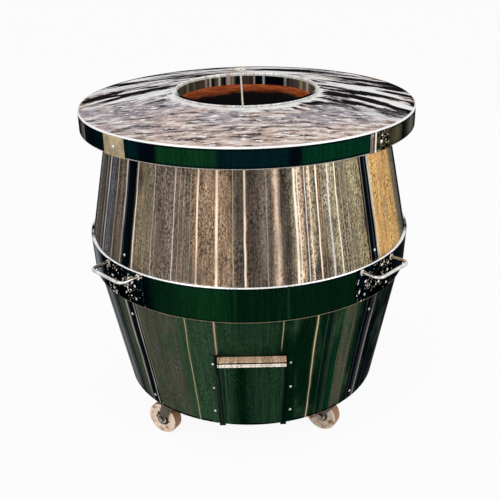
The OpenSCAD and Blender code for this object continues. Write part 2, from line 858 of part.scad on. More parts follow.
module caster_fork(i) {
    race_top = base_z - caster_plate_t - race_h - skin_gap;
    crown_top = race_top - fork_race_h;
    crown_z = crown_top - fork_t;
    leg_x = fork_in / 2;
    color("lightgray") in_caster(i) difference() {
        union() {
            translate([0, 0, crown_top]) cylinder(h = fork_race_h, r = race_r, $fn = round_fn);
            translate([0, 0, crown_z]) cylinder(h = fork_t, r = crown_r, $fn = round_fn);
            for (side = [-1, 1])
                translate([side * (leg_x + fork_t / 2), 0, 0]) rotate([90, 0, 90])
                    linear_extrude(height = fork_t, center = true) {
                        polygon([[-fork_top_w / 2, crown_top], [fork_top_w / 2, crown_top],
                            [trail + fork_foot_r, wheel_r], [trail - fork_foot_r, wheel_r]]);
                        translate([trail, wheel_r]) circle(fork_foot_r, $fn = round_fn);
                    }
        }
        translate([0, 0, crown_z - over]) cylinder(h = race_top - crown_z + 2 * over,
            r = pin_d / 2 + run_fit, $fn = round_fn);
        along_axle(axle_d / 2 + run_fit, fork_in + 4 * fork_t, round_fn);
    }
}

// The wheel in section: X is the radius, Y runs along the axle
module wheel_2d() {
    bore = axle_d / 2 + run_fit;
    half = wheel_w / 2;
    round_x = wheel_r - wheel_round;
    tyre_in = wheel_r - 2 * wheel_round;
    translate([bore, -hub_w / 2]) square([hub_r - bore, hub_w]);
    translate([bore, -half + wheel_dish]) square([round_x - bore, wheel_w - 2 * wheel_dish]);
    translate([tyre_in, -half]) square([wheel_round, wheel_w]);
    translate([tyre_in, -half + wheel_round])
        square([2 * wheel_round, wheel_w - 2 * wheel_round]);
    for (side = [-1, 1])
        translate([round_x, side * (half - wheel_round)]) circle(wheel_round, $fn = round_fn);
}

module caster_wheel(i) {
    color("peachpuff") in_caster(i) translate([0, trail, wheel_r]) rotate([0, 90, 0])
        rotate_extrude($fn = big_fn) wheel_2d();
}

module caster_axle(i) {
    out_x = fork_in / 2 + fork_t;
    color("silver") in_caster(i) {
        along_axle(axle_d / 2, 2 * out_x + axle_head_h, round_fn);
        for (side = [-1, 1])
            translate([side * (out_x + axle_head_h / 2), 0, 0])
                along_axle(axle_head_r, axle_head_h, hex_fn);
    }
}

module caster_bolts() {
    low_z = base_z - caster_plate_t;
    top_z = base_z + pad_t;
    color("silver") for (i = [0:3])
        at_bolts(i) {
            translate([0, 0, low_z - bolt_head_h])
                cylinder(h = bolt_head_h, r = bolt_head_r, $fn = hex_fn);
            translate([0, 0, top_z]) cylinder(h = nut_h, r = bolt_head_r, $fn = hex_fn);
            translate([0, 0, low_z - bolt_head_h / 2])
                cylinder(h = top_z - low_z + bolt_head_h / 2 + nut_h + bolt_end_h,
                    r = bolt_d / 2, $fn = small_fn);
        }
}

// ---- skewer ----

module skewer() {
    front_y = -mouth_r - skewer_front;
    back_y = mouth_r + skewer_back;
    rod_r = skewer_d / 2;
    color("white") translate([-skewer_x, 0, skewer_z]) rotate([0, 0, skewer_turn]) {
        translate([0, front_y, 0]) rotate([-90, 0, 0])
            cylinder(h = back_y - front_y, r = rod_r, $fn = small_fn);
        translate([0, front_y, 0]) rotate([90, 0, 0])
            cylinder(h = skewer_tip_h, r1 = rod_r, r2 = skewer_tip_r, $fn = small_fn);
        translate([0, back_y + eye_r, 0]) rotate_extrude($fn = round_fn)
            translate([eye_r, 0]) circle(rod_r, $fn = small_fn);
    }
}

top_plate();
rim_skirt();
rim_clip(quarter(0, clip_az));  // rim_clip_front_left
rim_clip(quarter(1, clip_az));  // rim_clip_front_right
rim_clip(quarter(2, clip_az));  // rim_clip_rear_right
rim_clip(quarter(3, clip_az));  // rim_clip_rear_left
rim_clip_screws();
mouth_collar();
upper_shell();
middle_band();
lower_shell();
upper_strip(quarter(0, strip_az));  // upper_strip_front_left
upper_strip(quarter(1, strip_az));  // upper_strip_front_right
upper_strip(quarter(2, strip_az));  // upper_strip_rear_right
upper_strip(quarter(3, strip_az));  // upper_strip_rear_left
lower_strip(quarter(0, strip_az));  // lower_strip_front_left
lower_strip(quarter(1, strip_az));  // lower_strip_front_right
lower_strip(quarter(2, strip_az));  // lower_strip_rear_right
lower_strip(quarter(3, strip_az));  // lower_strip_rear_left
strip_rivets();
handle(quarter(0, strip_az));  // handle_front_left
handle(quarter(1, strip_az));  // handle_front_right
handle(quarter(2, strip_az));  // handle_rear_right
handle(quarter(3, strip_az));  // handle_rear_left
handle_plate(quarter(0, strip_az));  // handle_plate_front_left
handle_plate(quarter(1, strip_az));  // handle_plate_front_right
handle_plate(quarter(2, strip_az));  // handle_plate_rear_right
handle_plate(quarter(3, strip_az));  // handle_plate_rear_left
handle_rivets();
air_shutter();
shutter_guide(-1);  // shutter_guide_left
shutter_guide(1);  // shutter_guide_right
guide_rivets();
air_duct();
clay_pot();
insulation();
refractory_bed();
neck_seal();
fire_grate();
base_plate();
base_frame();
caster_top(0);  // caster_top_front_left
caster_top(1);  // caster_top_front_right
caster_top(2);  // caster_top_rear_right
caster_top(3);  // caster_top_rear_left
caster_fork(0);  // caster_fork_front_left
caster_fork(1);  // caster_fork_front_right
caster_fork(2);  // caster_fork_rear_right
caster_fork(3);  // caster_fork_rear_left
caster_wheel(0);  // caster_wheel_front_left
caster_wheel(1);  // caster_wheel_front_right
caster_wheel(2);  // caster_wheel_rear_right
caster_wheel(3);  // caster_wheel_rear_left
caster_axle(0);  // caster_axle_front_left
caster_axle(1);  // caster_axle_front_right
caster_axle(2);  // caster_axle_rear_right
caster_axle(3);  // caster_axle_rear_left
caster_bolts();
skewer();
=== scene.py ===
"""Barrel tandoor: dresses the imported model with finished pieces, materials, light and a camera."""

import functools
import json
import math

import bmesh
import bpy
from mathutils import Matrix, Vector, noise


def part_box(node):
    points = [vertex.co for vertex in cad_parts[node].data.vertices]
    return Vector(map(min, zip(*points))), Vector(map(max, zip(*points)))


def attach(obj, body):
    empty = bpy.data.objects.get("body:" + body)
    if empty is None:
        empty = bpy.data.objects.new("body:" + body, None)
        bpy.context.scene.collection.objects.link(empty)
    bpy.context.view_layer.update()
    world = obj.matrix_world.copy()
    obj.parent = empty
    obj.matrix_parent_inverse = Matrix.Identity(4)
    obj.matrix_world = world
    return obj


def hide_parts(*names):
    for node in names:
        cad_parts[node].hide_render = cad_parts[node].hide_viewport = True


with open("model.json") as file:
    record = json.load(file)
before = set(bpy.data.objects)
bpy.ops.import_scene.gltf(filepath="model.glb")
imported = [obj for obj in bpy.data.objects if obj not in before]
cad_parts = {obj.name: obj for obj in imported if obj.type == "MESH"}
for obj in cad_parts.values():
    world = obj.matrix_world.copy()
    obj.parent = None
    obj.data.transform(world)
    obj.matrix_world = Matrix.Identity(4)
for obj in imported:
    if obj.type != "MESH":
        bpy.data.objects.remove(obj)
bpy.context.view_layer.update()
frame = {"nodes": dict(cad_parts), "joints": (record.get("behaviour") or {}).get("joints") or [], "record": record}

bl_info = {
    "name": "Barrel tandoor",
    "version": (1, 0, 0),
    "blender": (4, 5, 0),
    "location": "3D View > Sidebar > Tandoor",
    "description": "Builds the finished look of a steel barrel tandoor on casters",
    "category": "Object",
}

MM = 0.001
MERGE = 0.004 * MM  # loose triangles of a CAD mesh are joined over this distance
NODES = frame["nodes"]
BODY_OF = {n: body for body, names in frame["record"]["behaviour"]["bodies"].items() for n in names}
CORNERS = ("front_left", "front_right", "rear_right", "rear_left")
# the ways in which a turned sheet's dents go
INWARD, DOWN = (-1.0, 0.0, 0.0), (0.0, 0.0, -1.0)
WHITE = (1.0, 1.0, 1.0, 1.0)
# steps round a turned piece
RIM_SEGMENTS, BARREL_SEGMENTS, COLLAR_SEGMENTS, WHEEL_SEGMENTS = 224, 192, 160, 72


def linear(hex_code):
    """An sRGB hex colour as linear RGBA."""
    values = [int(hex_code[i : i + 2], 16) / 255 for i in (1, 3, 5)]
    curve = [v / 12.92 if v <= 0.04045 else ((v + 0.055) / 1.055) ** 2.4 for v in values]
    return (*curve, 1.0)


# ---- sizes and colours that a user would change ----


def length(name, description, millimetres):
    return bpy.props.FloatProperty(
        name=name, description=description, default=millimetres * MM, min=0.0,
        precision=5, subtype="DISTANCE", unit="LENGTH",
    )


def colour(name, description, hex_code):
    return bpy.props.FloatVectorProperty(
        name=name, description=description, default=linear(hex_code), size=4,
        min=0.0, max=1.0, subtype="COLOR",
    )


class TandoorSizes(bpy.types.PropertyGroup):
    """Sizes of the sheet work, the handles and the casters"""

    sheet_step: length("Sheet step", "Largest step along a turned sheet's outline", 12)
    plate_ripple: length("Plate ripple", "Depth of the dents in the top plate", 0.7)
    shell_ripple: length("Shell ripple", "Depth of the dents in the barrel's sheets", 0.6)
    ripple_width: length("Ripple width", "Width of one dent in the sheets", 90)
    plate_sheet: length("Plate sheet", "Thickness of the top plate and its skirt", 2)
    barrel_sheet: length("Barrel sheet", "Thickness of the band's sheet", 1.5)
    rim_bend: length("Rim bend", "Outer radius of the bend at the plate's rim", 4)
    rim_hem: length("Rim hem", "Radius of the wired hem at the skirt's foot", 2)
    band_fold: length("Band fold", "Radius of the band's top fold", 3)
    bead: length("Mouth bead", "Radius of the rolled bead round the mouth", 4)
    cut_edge: length("Cut edge", "Rounding of cut sheet edges", 0.4)
    cast_edge: length("Cast edge", "Rounding of the grate's cast edges", 1.2)
    rod: length("Handle rod", "Diameter of the handle rod", 9)
    handle_width: length("Handle width", "Distance between the handle's legs", 120)
    handle_bend: length("Handle bend", "Radius of the handle's bends", 15)
    weld_pitch: length("Weld pitch", "Spacing of the ripples in a weld bead", 1.6)
    weld_width: length("Weld width", "Width of the handles' weld beads", 4.4)
    seam_width: length("Seam width", "Width of the ground weld across the top plate", 3.2)
    rivet: length("Rivet head", "Radius of a rivet's head", 4)
    rivet_height: length("Rivet height", "Height of a rivet's head", 2.2)
    clay_grain: length("Clay grain", "Unevenness of the pot's thrown surface", 1.2)
    clay_cell: length("Clay mesh", "Longest edge of the pot's surface", 14)
    rib: length("Wheel rib", "Thickness of the ribs in the wheel's sides", 2.2)
    strip_angle: bpy.props.FloatProperty(
        name="Handle angle",
        description="Angle of the handles from the door or its opposite side",
        default=math.radians(46),
        subtype="ANGLE",
        unit="ROTATION",
    )


class TandoorColours(bpy.types.PropertyGroup):
    """Colours of the metals, the clay and the casters"""

    umber: colour("Umber steel", "Middle tone of the brushed upper shell", "#6e6256")
    sand: colour("Sand steel", "Warm tone of the brushed upper shell", "#927a64")
    bark: colour("Dark brushed steel", "Dark tone of the brushed upper shell", "#50473f")
    reed: colour("Reed steel", "Olive tone of the brushed upper shell", "#776d58")
    straw: colour("Straw steel", "Pale warm tone of the brushed upper shell", "#958a6d")
    ochre: colour("Ochre steel", "Heat-tinted tone at the shell's right side", "#dcae70")
    peach: colour("Peach glint", "Wide warm glints on the shell", "#dcb89a")
    copper: colour("Copper fringe", "Fringe beside the brightest glints", "#b07a4c")
    glint: colour("White glint", "Brightest lines of the polished sheets", "#fff4e2")
    snow: colour("White streak", "Pale streaks of the top plate", "#ffffff")
    cream: colour("Cream glint", "Soft cream lines of the dark sheets", "#cfc39a")
    forest: colour("Forest green", "Green tone of the mirror sheets", "#0d331b")
    pine: colour("Pine green", "Deep green tone of the mirror sheets", "#06301f")
    spruce: colour("Spruce green", "Darkest green of the mirror sheets", "#051f12")
    fern: colour("Fern green", "Greyed green of the lower shell", "#2f4733")
    holly: colour("Holly green", "Green tone of the door and the wall above it", "#1f3826")
    teal: colour("Deep teal", "Blue-green tone of the mirror sheets", "#041c1f")
    moss: colour("Moss green", "Lighter green tone of the lower shell", "#1e4a2b")
    ink: colour("Ink", "Darkest tone of the mirror sheets", "#030a10")
    slate: colour("Slate steel", "Grey-violet tone of the barrel's left side", "#64666d")
    olive: colour("Olive steel", "Olive tone of the barrel's sheets", "#55503c")
    lilac: colour("Lilac steel", "Cool tone of the top plate", "#aea6ad")
    blush: colour("Blush steel", "Warm tone of the top plate", "#d0b8ad")
    chalk: colour("Chalk steel", "Palest tone of the top plate", "#eadfd6")
    ash: colour("Ash steel", "Grey-olive tone of the lower shell", "#4b4d40")
    dusk: colour("Dusk steel", "Grey troughs of the top plate's ripples", "#4d464b")
    iron: colour("Dark plate streak", "Dark streaks across the top plate", "#1d1a1e")
    tan: colour("Clip steel", "Warm tone of the rim clips", "#c4b18e")
    silver: colour("Silver steel", "Polished rods, beads and fasteners", "#f2f0ec")
    zinc: colour("Zinc plate", "Plated caster forks and plates", "#8f8a80")
    bronze: colour("Worn caster steel", "Grimy plating of the caster forks", "#5a5348")
    paint: colour("Base paint", "Paint of the base frame and the duct", "#1d1d1f")
    clay: colour("Fired clay", "Clay of the pot's lip", "#a5451b")
    clay_pale: colour("Dry clay", "Paler patches of the clay", "#cf7340")
    soot: colour("Soot", "Soot inside the pot", "#0b0908")
    fibre: colour("Fibre", "Ceramic fibre behind the shells", "#d8cfb9")
    refractory: colour("Refractory", "Cast refractory bed and neck ring", "#a08a70")
    castiron: colour("Cast iron", "Fire grate", "#27241f")
    nylon: colour("Cream nylon", "Caster wheels", "#ffe9d2")
    nylon_worn: colour("Worn nylon", "Scuffs on the caster wheels", "#a8744f")
    floor: colour("Floor", "Floor and background", "#f6f6f5")


def sizes():
    return bpy.context.scene.tandoor_sizes


def tint(tone):
    """The colour of a tone; a socket or a colour passes as it is."""
    return tuple(getattr(bpy.context.scene.tandoor_colours, tone)) if isinstance(tone, str) else tone


# ---- meshes ----


def new_object(name, mesh):
    obj = bpy.data.objects.new(name, mesh)
    bpy.context.scene.collection.objects.link(obj)
    return obj


def close_up(mesh, angle=30):
    """Turns the faces outwards and shades them smooth up to a fold of that angle."""
    bm = bmesh.new()
    bm.from_mesh(mesh)
    bmesh.ops.recalc_face_normals(bm, faces=bm.faces)
    bm.to_mesh(mesh)
    bm.free()
    mesh.shade_smooth()
    mesh.set_sharp_from_angle(angle=math.radians(angle))


def merged(node):
    """A CAD node's mesh, joined up for work on it."""
    bm = bmesh.new()
    bm.from_mesh(NODES[node].data)
    bmesh.ops.remove_doubles(bm, verts=bm.verts, dist=MERGE)
    return bm


def made(name, bm, material):
    """The object of a mesh that has been worked on."""
    mesh = bpy.data.meshes.new(name)
    bm.to_mesh(mesh)
    bm.free()
    mesh.materials.clear()
    mesh.materials.append(material)
    return new_object(name, mesh)


def stand_for(piece, node):
    """The piece rides with its CAD node, takes its finish and is shown in its place."""
    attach(piece, BODY_OF[node])
    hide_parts(node)


def sit_on(piece, node):
    """The piece rides with a CAD node and takes its finish, beside it."""
    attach(piece, BODY_OF[node])


def dress(node, material):
    """A CAD node that keeps its shape gets its material."""
    slots = NODES[node].data.materials
    slots.clear()
    slots.append(material)


def settle(obj):
    """Applies the object's modifiers, so that a plain mesh is left at the origin."""
    graph = bpy.context.evaluated_depsgraph_get()
    mesh = bpy.data.meshes.new_from_object(obj.evaluated_get(graph), depsgraph=graph)
    obj.modifiers.clear()
    obj.data = mesh


def worked_copy(node, material, edge):
    """A CAD sheet or casting with its faces joined up and its cut edges rounded."""
    bm = merged(node)
    bmesh.ops.dissolve_limit(bm, angle_limit=math.radians(0.5), verts=bm.verts, edges=bm.edges)
    obj = made(node + "_worked", bm, material)
    bevel = obj.modifiers.new("edge", "BEVEL")
    bevel.width = edge
    bevel.segments = 2
    bevel.limit_method = "ANGLE"
    bevel.angle_limit = math.radians(32)
    bevel.use_clamp_overlap = True
    settle(obj)
    close_up(obj.data, 40)
    stand_for(obj, node)


def reach(node, height):
    """Inner and outer radius of a turned CAD node at a height."""
    spots = [v.co for v in NODES[node].data.vertices if abs(v.co.z - height) < 0.4 * MM]
    radii = [math.hypot(spot.x, spot.y) for spot in spots]
    return min(radii), max(radii)


def arc(centre, radius, start, end, steps):
    """Points of an arc in an outline, by angles in degrees from the outward radius."""
    turns = [math.radians(start + (end - start) * i / steps) for i in range(steps + 1)]
    return [(centre[0] + radius * math.cos(a), centre[1] + radius * math.sin(a)) for a in turns]


def stepped(outline, step):
    """The closed outline with its long sides divided, so that the sheet can ripple."""
    points = []
    for here, there in zip(outline, outline[1:] + outline[:1]):
        cuts = max(1, math.ceil(math.dist(here, there) / step))
        points += [tuple(a + (b - a) * i / cuts for a, b in zip(here, there)) for i in range(cuts)]
    return points


def wire(name, points, closed):
    """A mesh of edges through the points, for a tree to work on."""
    edges = [(i, (i + 1) % len(points)) for i in range(len(points) if closed else len(points) - 1)]
    mesh = bpy.data.meshes.new(name)
    mesh.from_pydata([Vector(p) for p in points], edges, [])
    return new_object(name, mesh)


def point_cloud(name, places):
    """Vertices with the direction in which each one faces."""
    mesh = bpy.data.meshes.new(name)
    mesh.from_pydata([p for p, _ in places], [], [])
    out = mesh.attributes.new("out", "FLOAT_VECTOR", "POINT")
    for i, (_, way) in enumerate(places):
        out.data[i].vector = way
    return new_object(name, mesh)


# ---- geometry node trees ----


def add_node(tree, kind, links=(), out=0, **settings):
    """Adds a node, sets its properties, feeds its inputs from sockets or values, gives an output.

    A kind without Node in its name is a shader node, and may name its operation after a point.
    Links go by the inputs' names or numbers, or in order."""
    kind, _, operation = kind.partition(".")
    node = tree.nodes.new(kind if "Node" in kind else "ShaderNode" + kind)
    if operation:
        node.operation = operation
    for key, value in settings.items():
        setattr(node, key, value)
    for key, value in links.items() if isinstance(links, dict) else enumerate(links):
        if isinstance(value, bpy.types.NodeSocket):
            tree.links.new(value, node.inputs[key])
        else:
            node.inputs[key].default_value = value
    return node.outputs[out] if len(node.outputs) else node


def tree_of(name, **inputs):
    """Makes a geometry tree, once, of a function that lays its nodes between named inputs and
    the end in Realize Instances and Set Material."""

    def wrap(lay):
        @functools.cache
        def build():
            tree = bpy.data.node_groups.new(name, "GeometryNodeTree")
            new_socket = tree.interface.new_socket
            new_socket("Geometry", in_out="OUTPUT", socket_type="NodeSocketGeometry")
            for label, kind in {"Geometry": "Geometry", **inputs, "Material": "Material"}.items():
                new_socket(label, in_out="INPUT", socket_type="NodeSocket" + kind)
            add = functools.partial(add_node, tree)
            given = add("NodeGroupInput").node.outputs
            real = add("GeometryNodeRealizeInstances", (lay(add, given),))
            done = {"Geometry": real, "Material": given["Material"]}
            add("NodeGroupOutput", (add("GeometryNodeSetMaterial", done),))
            return tree

        return build

    return wrap


def grow(obj, tree, **values):
    """Runs a tree on the object and keeps the result as its plain mesh."""
    modifier = obj.modifiers.new("tree", "NODES")
    modifier.node_group = tree
    for item in tree.interface.items_tree:
        if item.item_type == "SOCKET" and item.in_out == "INPUT" and item.name in values:
            modifier[item.identifier] = values[item.name]
    settle(obj)


@tree_of("turned_sheet", Segments="Int", Ripple="Float", Width="Float", Way="Vector")
def turned_sheet_tree(add, given):
    """Turns a closed outline round the barrel's axis and dents the sheet a little."""
    outline = add("GeometryNodeMeshToCurve", (given["Geometry"],))
    ring = {"Resolution": given["Segments"], "Radius": 1.0}
    ring = add("GeometryNodeCurvePrimitiveCircle", ring, mode="RADIUS")
    sheet = add("GeometryNodeCurveToMesh", {"Curve": ring, "Profile Curve": outline})
    place = add("GeometryNodeInputPosition")
    flat = add("VectorMath.MULTIPLY", (place, (1, 1, 0)))
    outward = add("VectorMath.NORMALIZE", (flat,))
    # Way.x scales the radial part of the dent and Way.z the upright one
    parts = add("SeparateXYZ", (given["Way"],)).node.outputs
    radial = add("VectorMath.SCALE", {0: outward, "Scale": parts["X"]})
    way = add("VectorMath.ADD", (radial, add("CombineXYZ", {"Z": parts["Z"]})))
    per_metre = add("Math.DIVIDE", (1, given["Width"]))
    dents = add("TexNoise", {"Vector": place, "Scale": per_metre, "Detail": 1})
    depth = add("Math.MULTIPLY", (dents, given["Ripple"]))
    shift = add("VectorMath.SCALE", {0: way, "Scale": depth})
    return add("GeometryNodeSetPosition", {"Geometry": sheet, "Offset": shift})


@tree_of("bent_rod", Radius="Float", Sides="Int")
def bent_rod_tree(add, given):
    """Sweeps a round rod along a path and closes its ends."""
    path = add("GeometryNodeMeshToCurve", (given["Geometry"],))
    section = {"Resolution": given["Sides"], "Radius": given["Radius"]}
    section = add("GeometryNodeCurvePrimitiveCircle", section, mode="RADIUS")
    rod = {"Curve": path, "Profile Curve": section, "Fill Caps": True}
    return add("GeometryNodeCurveToMesh", rod)


@tree_of("weld_bead", Pitch="Float", Width="Float", Height="Float", Seed="Int")
def weld_tree(add, given):
    """Lays the overlapping ripples of a weld bead along a path."""
    path = add("GeometryNodeMeshToCurve", (given["Geometry"],))
    spots = {"Curve": path, "Length": given["Pitch"]}
    spots = add("GeometryNodeCurveToPoints", spots, mode="LENGTH").node.outputs
    drop = add("GeometryNodeMeshIcoSphere", {"Radius": 0.5, "Subdivisions": 2})
    # each ripple is 2.2 pitches long, so that it overlaps the next two, and varies in size
    long = add("Math.MULTIPLY", (given["Pitch"], 2.2))
    shape = add("CombineXYZ", (given["Width"], given["Height"], long))
    vary = {2: 0.82, 3: 1.12, "Seed": given["Seed"]}
    vary = add("FunctionNodeRandomValue", vary, 1, data_type="FLOAT")
    size = add("VectorMath.SCALE", {0: shape, "Scale": vary})
    drops = {"Points": spots["Points"], "Instance": drop, "Rotation": spots["Rotation"], "Scale": size}
    return add("GeometryNodeInstanceOnPoints", drops)


def facing_out(add, axis):
    """The turn that points an instance's axis along the direction held in its point."""
    out = {"Name": "out"}
    out = add("GeometryNodeInputNamedAttribute", out, data_type="FLOAT_VECTOR")
    return add("FunctionNodeAlignRotationToVector", {"Vector": out}, axis=axis)


@tree_of("rivet_heads", Radius="Float", Height="Float")
def rivet_tree(add, given):
    """Sets a domed head with a thin flange on each point, along its outward direction."""
    sides = 20
    dome = add("GeometryNodeMeshUVSphere", {"Segments": sides, "Rings": 12, "Radius": 1.0})
    narrow = add("Math.MULTIPLY", (given["Radius"], 0.86))
    shape = add("CombineXYZ", (narrow, narrow, given["Height"]))
    head = add("GeometryNodeTransform", {0: dome, "Scale": shape})
    thin = add("Math.MULTIPLY", (given["Height"], 0.5))
    flange = {"Radius Top": narrow, "Radius Bottom": given["Radius"], "Depth": thin}
    flange = add("GeometryNodeMeshCone", {"Vertices": sides, **flange})
    both = add("GeometryNodeJoinGeometry", (head,))
    both.id_data.links.new(flange, both.node.inputs[0])
    heads = {"Points": given["Geometry"], "Instance": both, "Rotation": facing_out(add, "Z")}
    return add("GeometryNodeInstanceOnPoints", heads)


@tree_of("wheel_ribs", Long="Float", Thick="Float", Deep="Float")
def rib_tree(add, given):
    """Stands flat ribs round a hub, on the points that it is given."""
    size = add("CombineXYZ", (given["Long"], given["Thick"], given["Deep"]))
    rib = add("GeometryNodeMeshCube", {"Size": size})
    ribs = {"Points": given["Geometry"], "Instance": rib, "Rotation": facing_out(add, "X")}
    return add("GeometryNodeInstanceOnPoints", ribs)


def turned(name, outline, material, segments, ripple=0.0, way=INWARD):
    """A sheet or a wheel turned round Z from its closed outline of radii and heights."""
    # the tree sweeps the outline round a ring of 1 m radius, so radii count from there
    points = [(r - 1.0, -z, 0.0) for r, z in stepped(outline, sizes().sheet_step)]
    obj = wire(name, points, True)
    dents = {"Ripple": ripple, "Width": sizes().ripple_width, "Way": way}
    grow(obj, turned_sheet_tree(), Segments=segments, **dents, Material=material)
    close_up(obj.data)
    return obj


def weld(name, path, material, width, height, node, closed=True):
    """A weld bead along a path, beside a CAD node."""
    obj = wire(name, path, closed)
    pitch = sizes().weld_pitch
    grow(obj, weld_tree(), Pitch=pitch, Width=width, Height=height, Seed=7, Material=material)
    obj.data.shade_smooth()
    sit_on(obj, node)


# ---- materials ----


class Finish:
    """A material in the making: its shader, its base colour so far and what patterns are made of."""

    def __init__(self, name, shader):
        """Fixed values are set on the shader's own sockets."""
        self.material = bpy.data.materials.new(name)
        self.material.use_nodes = True
        self.tree = self.material.node_tree
        self.tree.nodes.clear()
        self.add = functools.partial(add_node, self.tree)
        surface = self.add("BsdfPrincipled", shader)
        self.add("OutputMaterial", {"Surface": surface})
        self.inputs = surface.node.inputs
        self.place = self.add("TexCoord", out="Object")
        self.x, self.y, self.z = self.add("SeparateXYZ", (self.place,)).node.outputs

    def around(self):
        """Sockets round the barrel: 0 at its left to 1 at its right, and the outward X and Y."""
        flat = self.add("VectorMath.MULTIPLY", (self.place, (1, 1, 0)))
        outward = self.add("VectorMath.NORMALIZE", (flat,))
        x, y, _ = self.add("SeparateXYZ", (outward,)).node.outputs
        angle = self.add("Math.ARCSINE", (x,))
        return self.add("MapRange", (angle, -math.pi / 2, math.pi / 2)), x, y

    def noise(self, scale, detail=3, rough=0.55, stretch=(1, 1, 1), vector=None):
        """Noise as a 0 to 1 socket, by its scale per metre, on the stretched place or vector."""
        vector = self.place if vector is None else vector
        scaled = self.add("VectorMath.MULTIPLY", (vector, stretch))
        noise_of = {"Vector": scaled, "Scale": scale, "Detail": detail, "Roughness": rough}
        return self.add("TexNoise", noise_of)

    def cover(self, share, tone):
        """Lays a colour over the base by its share."""
        self.base = self.add("Mix", {0: share, 6: self.base, 7: tint(tone)}, 2, data_type="RGBA")

    def blend(self, amount, low, high, tone):
        """Passes to a colour as a socket climbs between two values."""
        share = self.add("MapRange", (amount, low, high), interpolation_type="SMOOTHSTEP")
        self.cover(share, tone)

    def scale(self, grey):
        base = self.base[:3] if isinstance(self.base, tuple) else self.base
        self.base = self.add("VectorMath.SCALE", {0: base, "Scale": grey})

    def shade(self, amount, low, high, dark, light):
        """Multiplies the base by a grey that follows a 0 to 1 socket."""
        self.scale(self.add("MapRange", (amount, low, high, dark, light)))

    def ramp(self, amount, stops, way="LINEAR"):
        """The node of a colour ramp with its stops of position and colour."""
        node = self.add("ValToRGB", (amount,)).node
        node.color_ramp.interpolation = way
        elements = node.color_ramp.elements
        stops = sorted(stops, key=lambda stop: stop[0])
        while len(elements) < len(stops):
            elements.new(0.5)
        for element, (place, _) in zip(elements, stops):
            element.position = place
        for element, (_, value) in zip(elements, stops):
            element.color = value
        return node

    def tones(self, across, stops):
        """The base by angle, from -90 at the left side to 90 at the right: each tone's angles."""
        stops = [((a + 90) / 180, tint(tone)) for tone, angles in stops.items() for a in angles]
        self.base = self.ramp(across, stops, "EASE").outputs[0]

    def overlay(self, node, force):
        """Lays a ramp's colours over the base by their alpha and a force."""
        share = self.add("Math.MULTIPLY", (node.outputs["Alpha"], force))
        self.cover(share, node.outputs["Color"])

    def glints(self, across, flicker, lines):
        """Lays thin lines over the base: for each tone, an angle, a half width and a strength.

        A ramp holds 256 steps and 32 stops, so each one is spread over the span of 8 lines."""
        lines = sorted((*line, tone) for tone, group in lines.items() for line in group)
        for first in range(0, len(lines), 8):
            group = lines[first : first + 8]
            low = group[0][0] - group[0][1] - 0.5
            high = group[-1][0] + group[-1][1] + 0.5
            spread = self.add("MapRange", (across, (low + 90) / 180, (high + 90) / 180))
            stops = []
            for angle, half, strength, tone in group:
                for part, alpha in ((-1, 0), (-0.4, strength), (0.4, strength), (1, 0)):
                    place = (angle + part * half - low) / (high - low)
                    stops.append((place, (*tint(tone)[:3], alpha)))
            self.overlay(self.ramp(spread, stops), flicker)

    def mirror(self, least, most, share=None):
        """Dark tones mirror less than bright ones, so that they stay dark where seen edge-on."""
        bright = self.add("RGBToBW", (self.base,))
        metal = self.add("MapRange", (bright, 0.01, 0.12, least, most))
        if share is not None:
            metal = self.add("Math.MULTIPLY", (metal, share))
        self.tree.links.new(metal, self.inputs["Metallic"])

    def done(self, bumps, depth, strength, rough=None):
        """Connects the base, the bumps (in millimetres) and where the surface is dull or sharp."""
        link = self.tree.links.new
        link(self.base, self.inputs["Base Color"])
        if rough:
            amount, low, high = rough
            link(self.add("MapRange", (amount, 0.3, 0.7, low, high)), self.inputs["Roughness"])
        bump = {"Height": bumps, "Distance": depth * MM, "Strength": strength}
        link(self.add("Bump", bump), self.inputs["Normal"])
        return self.material


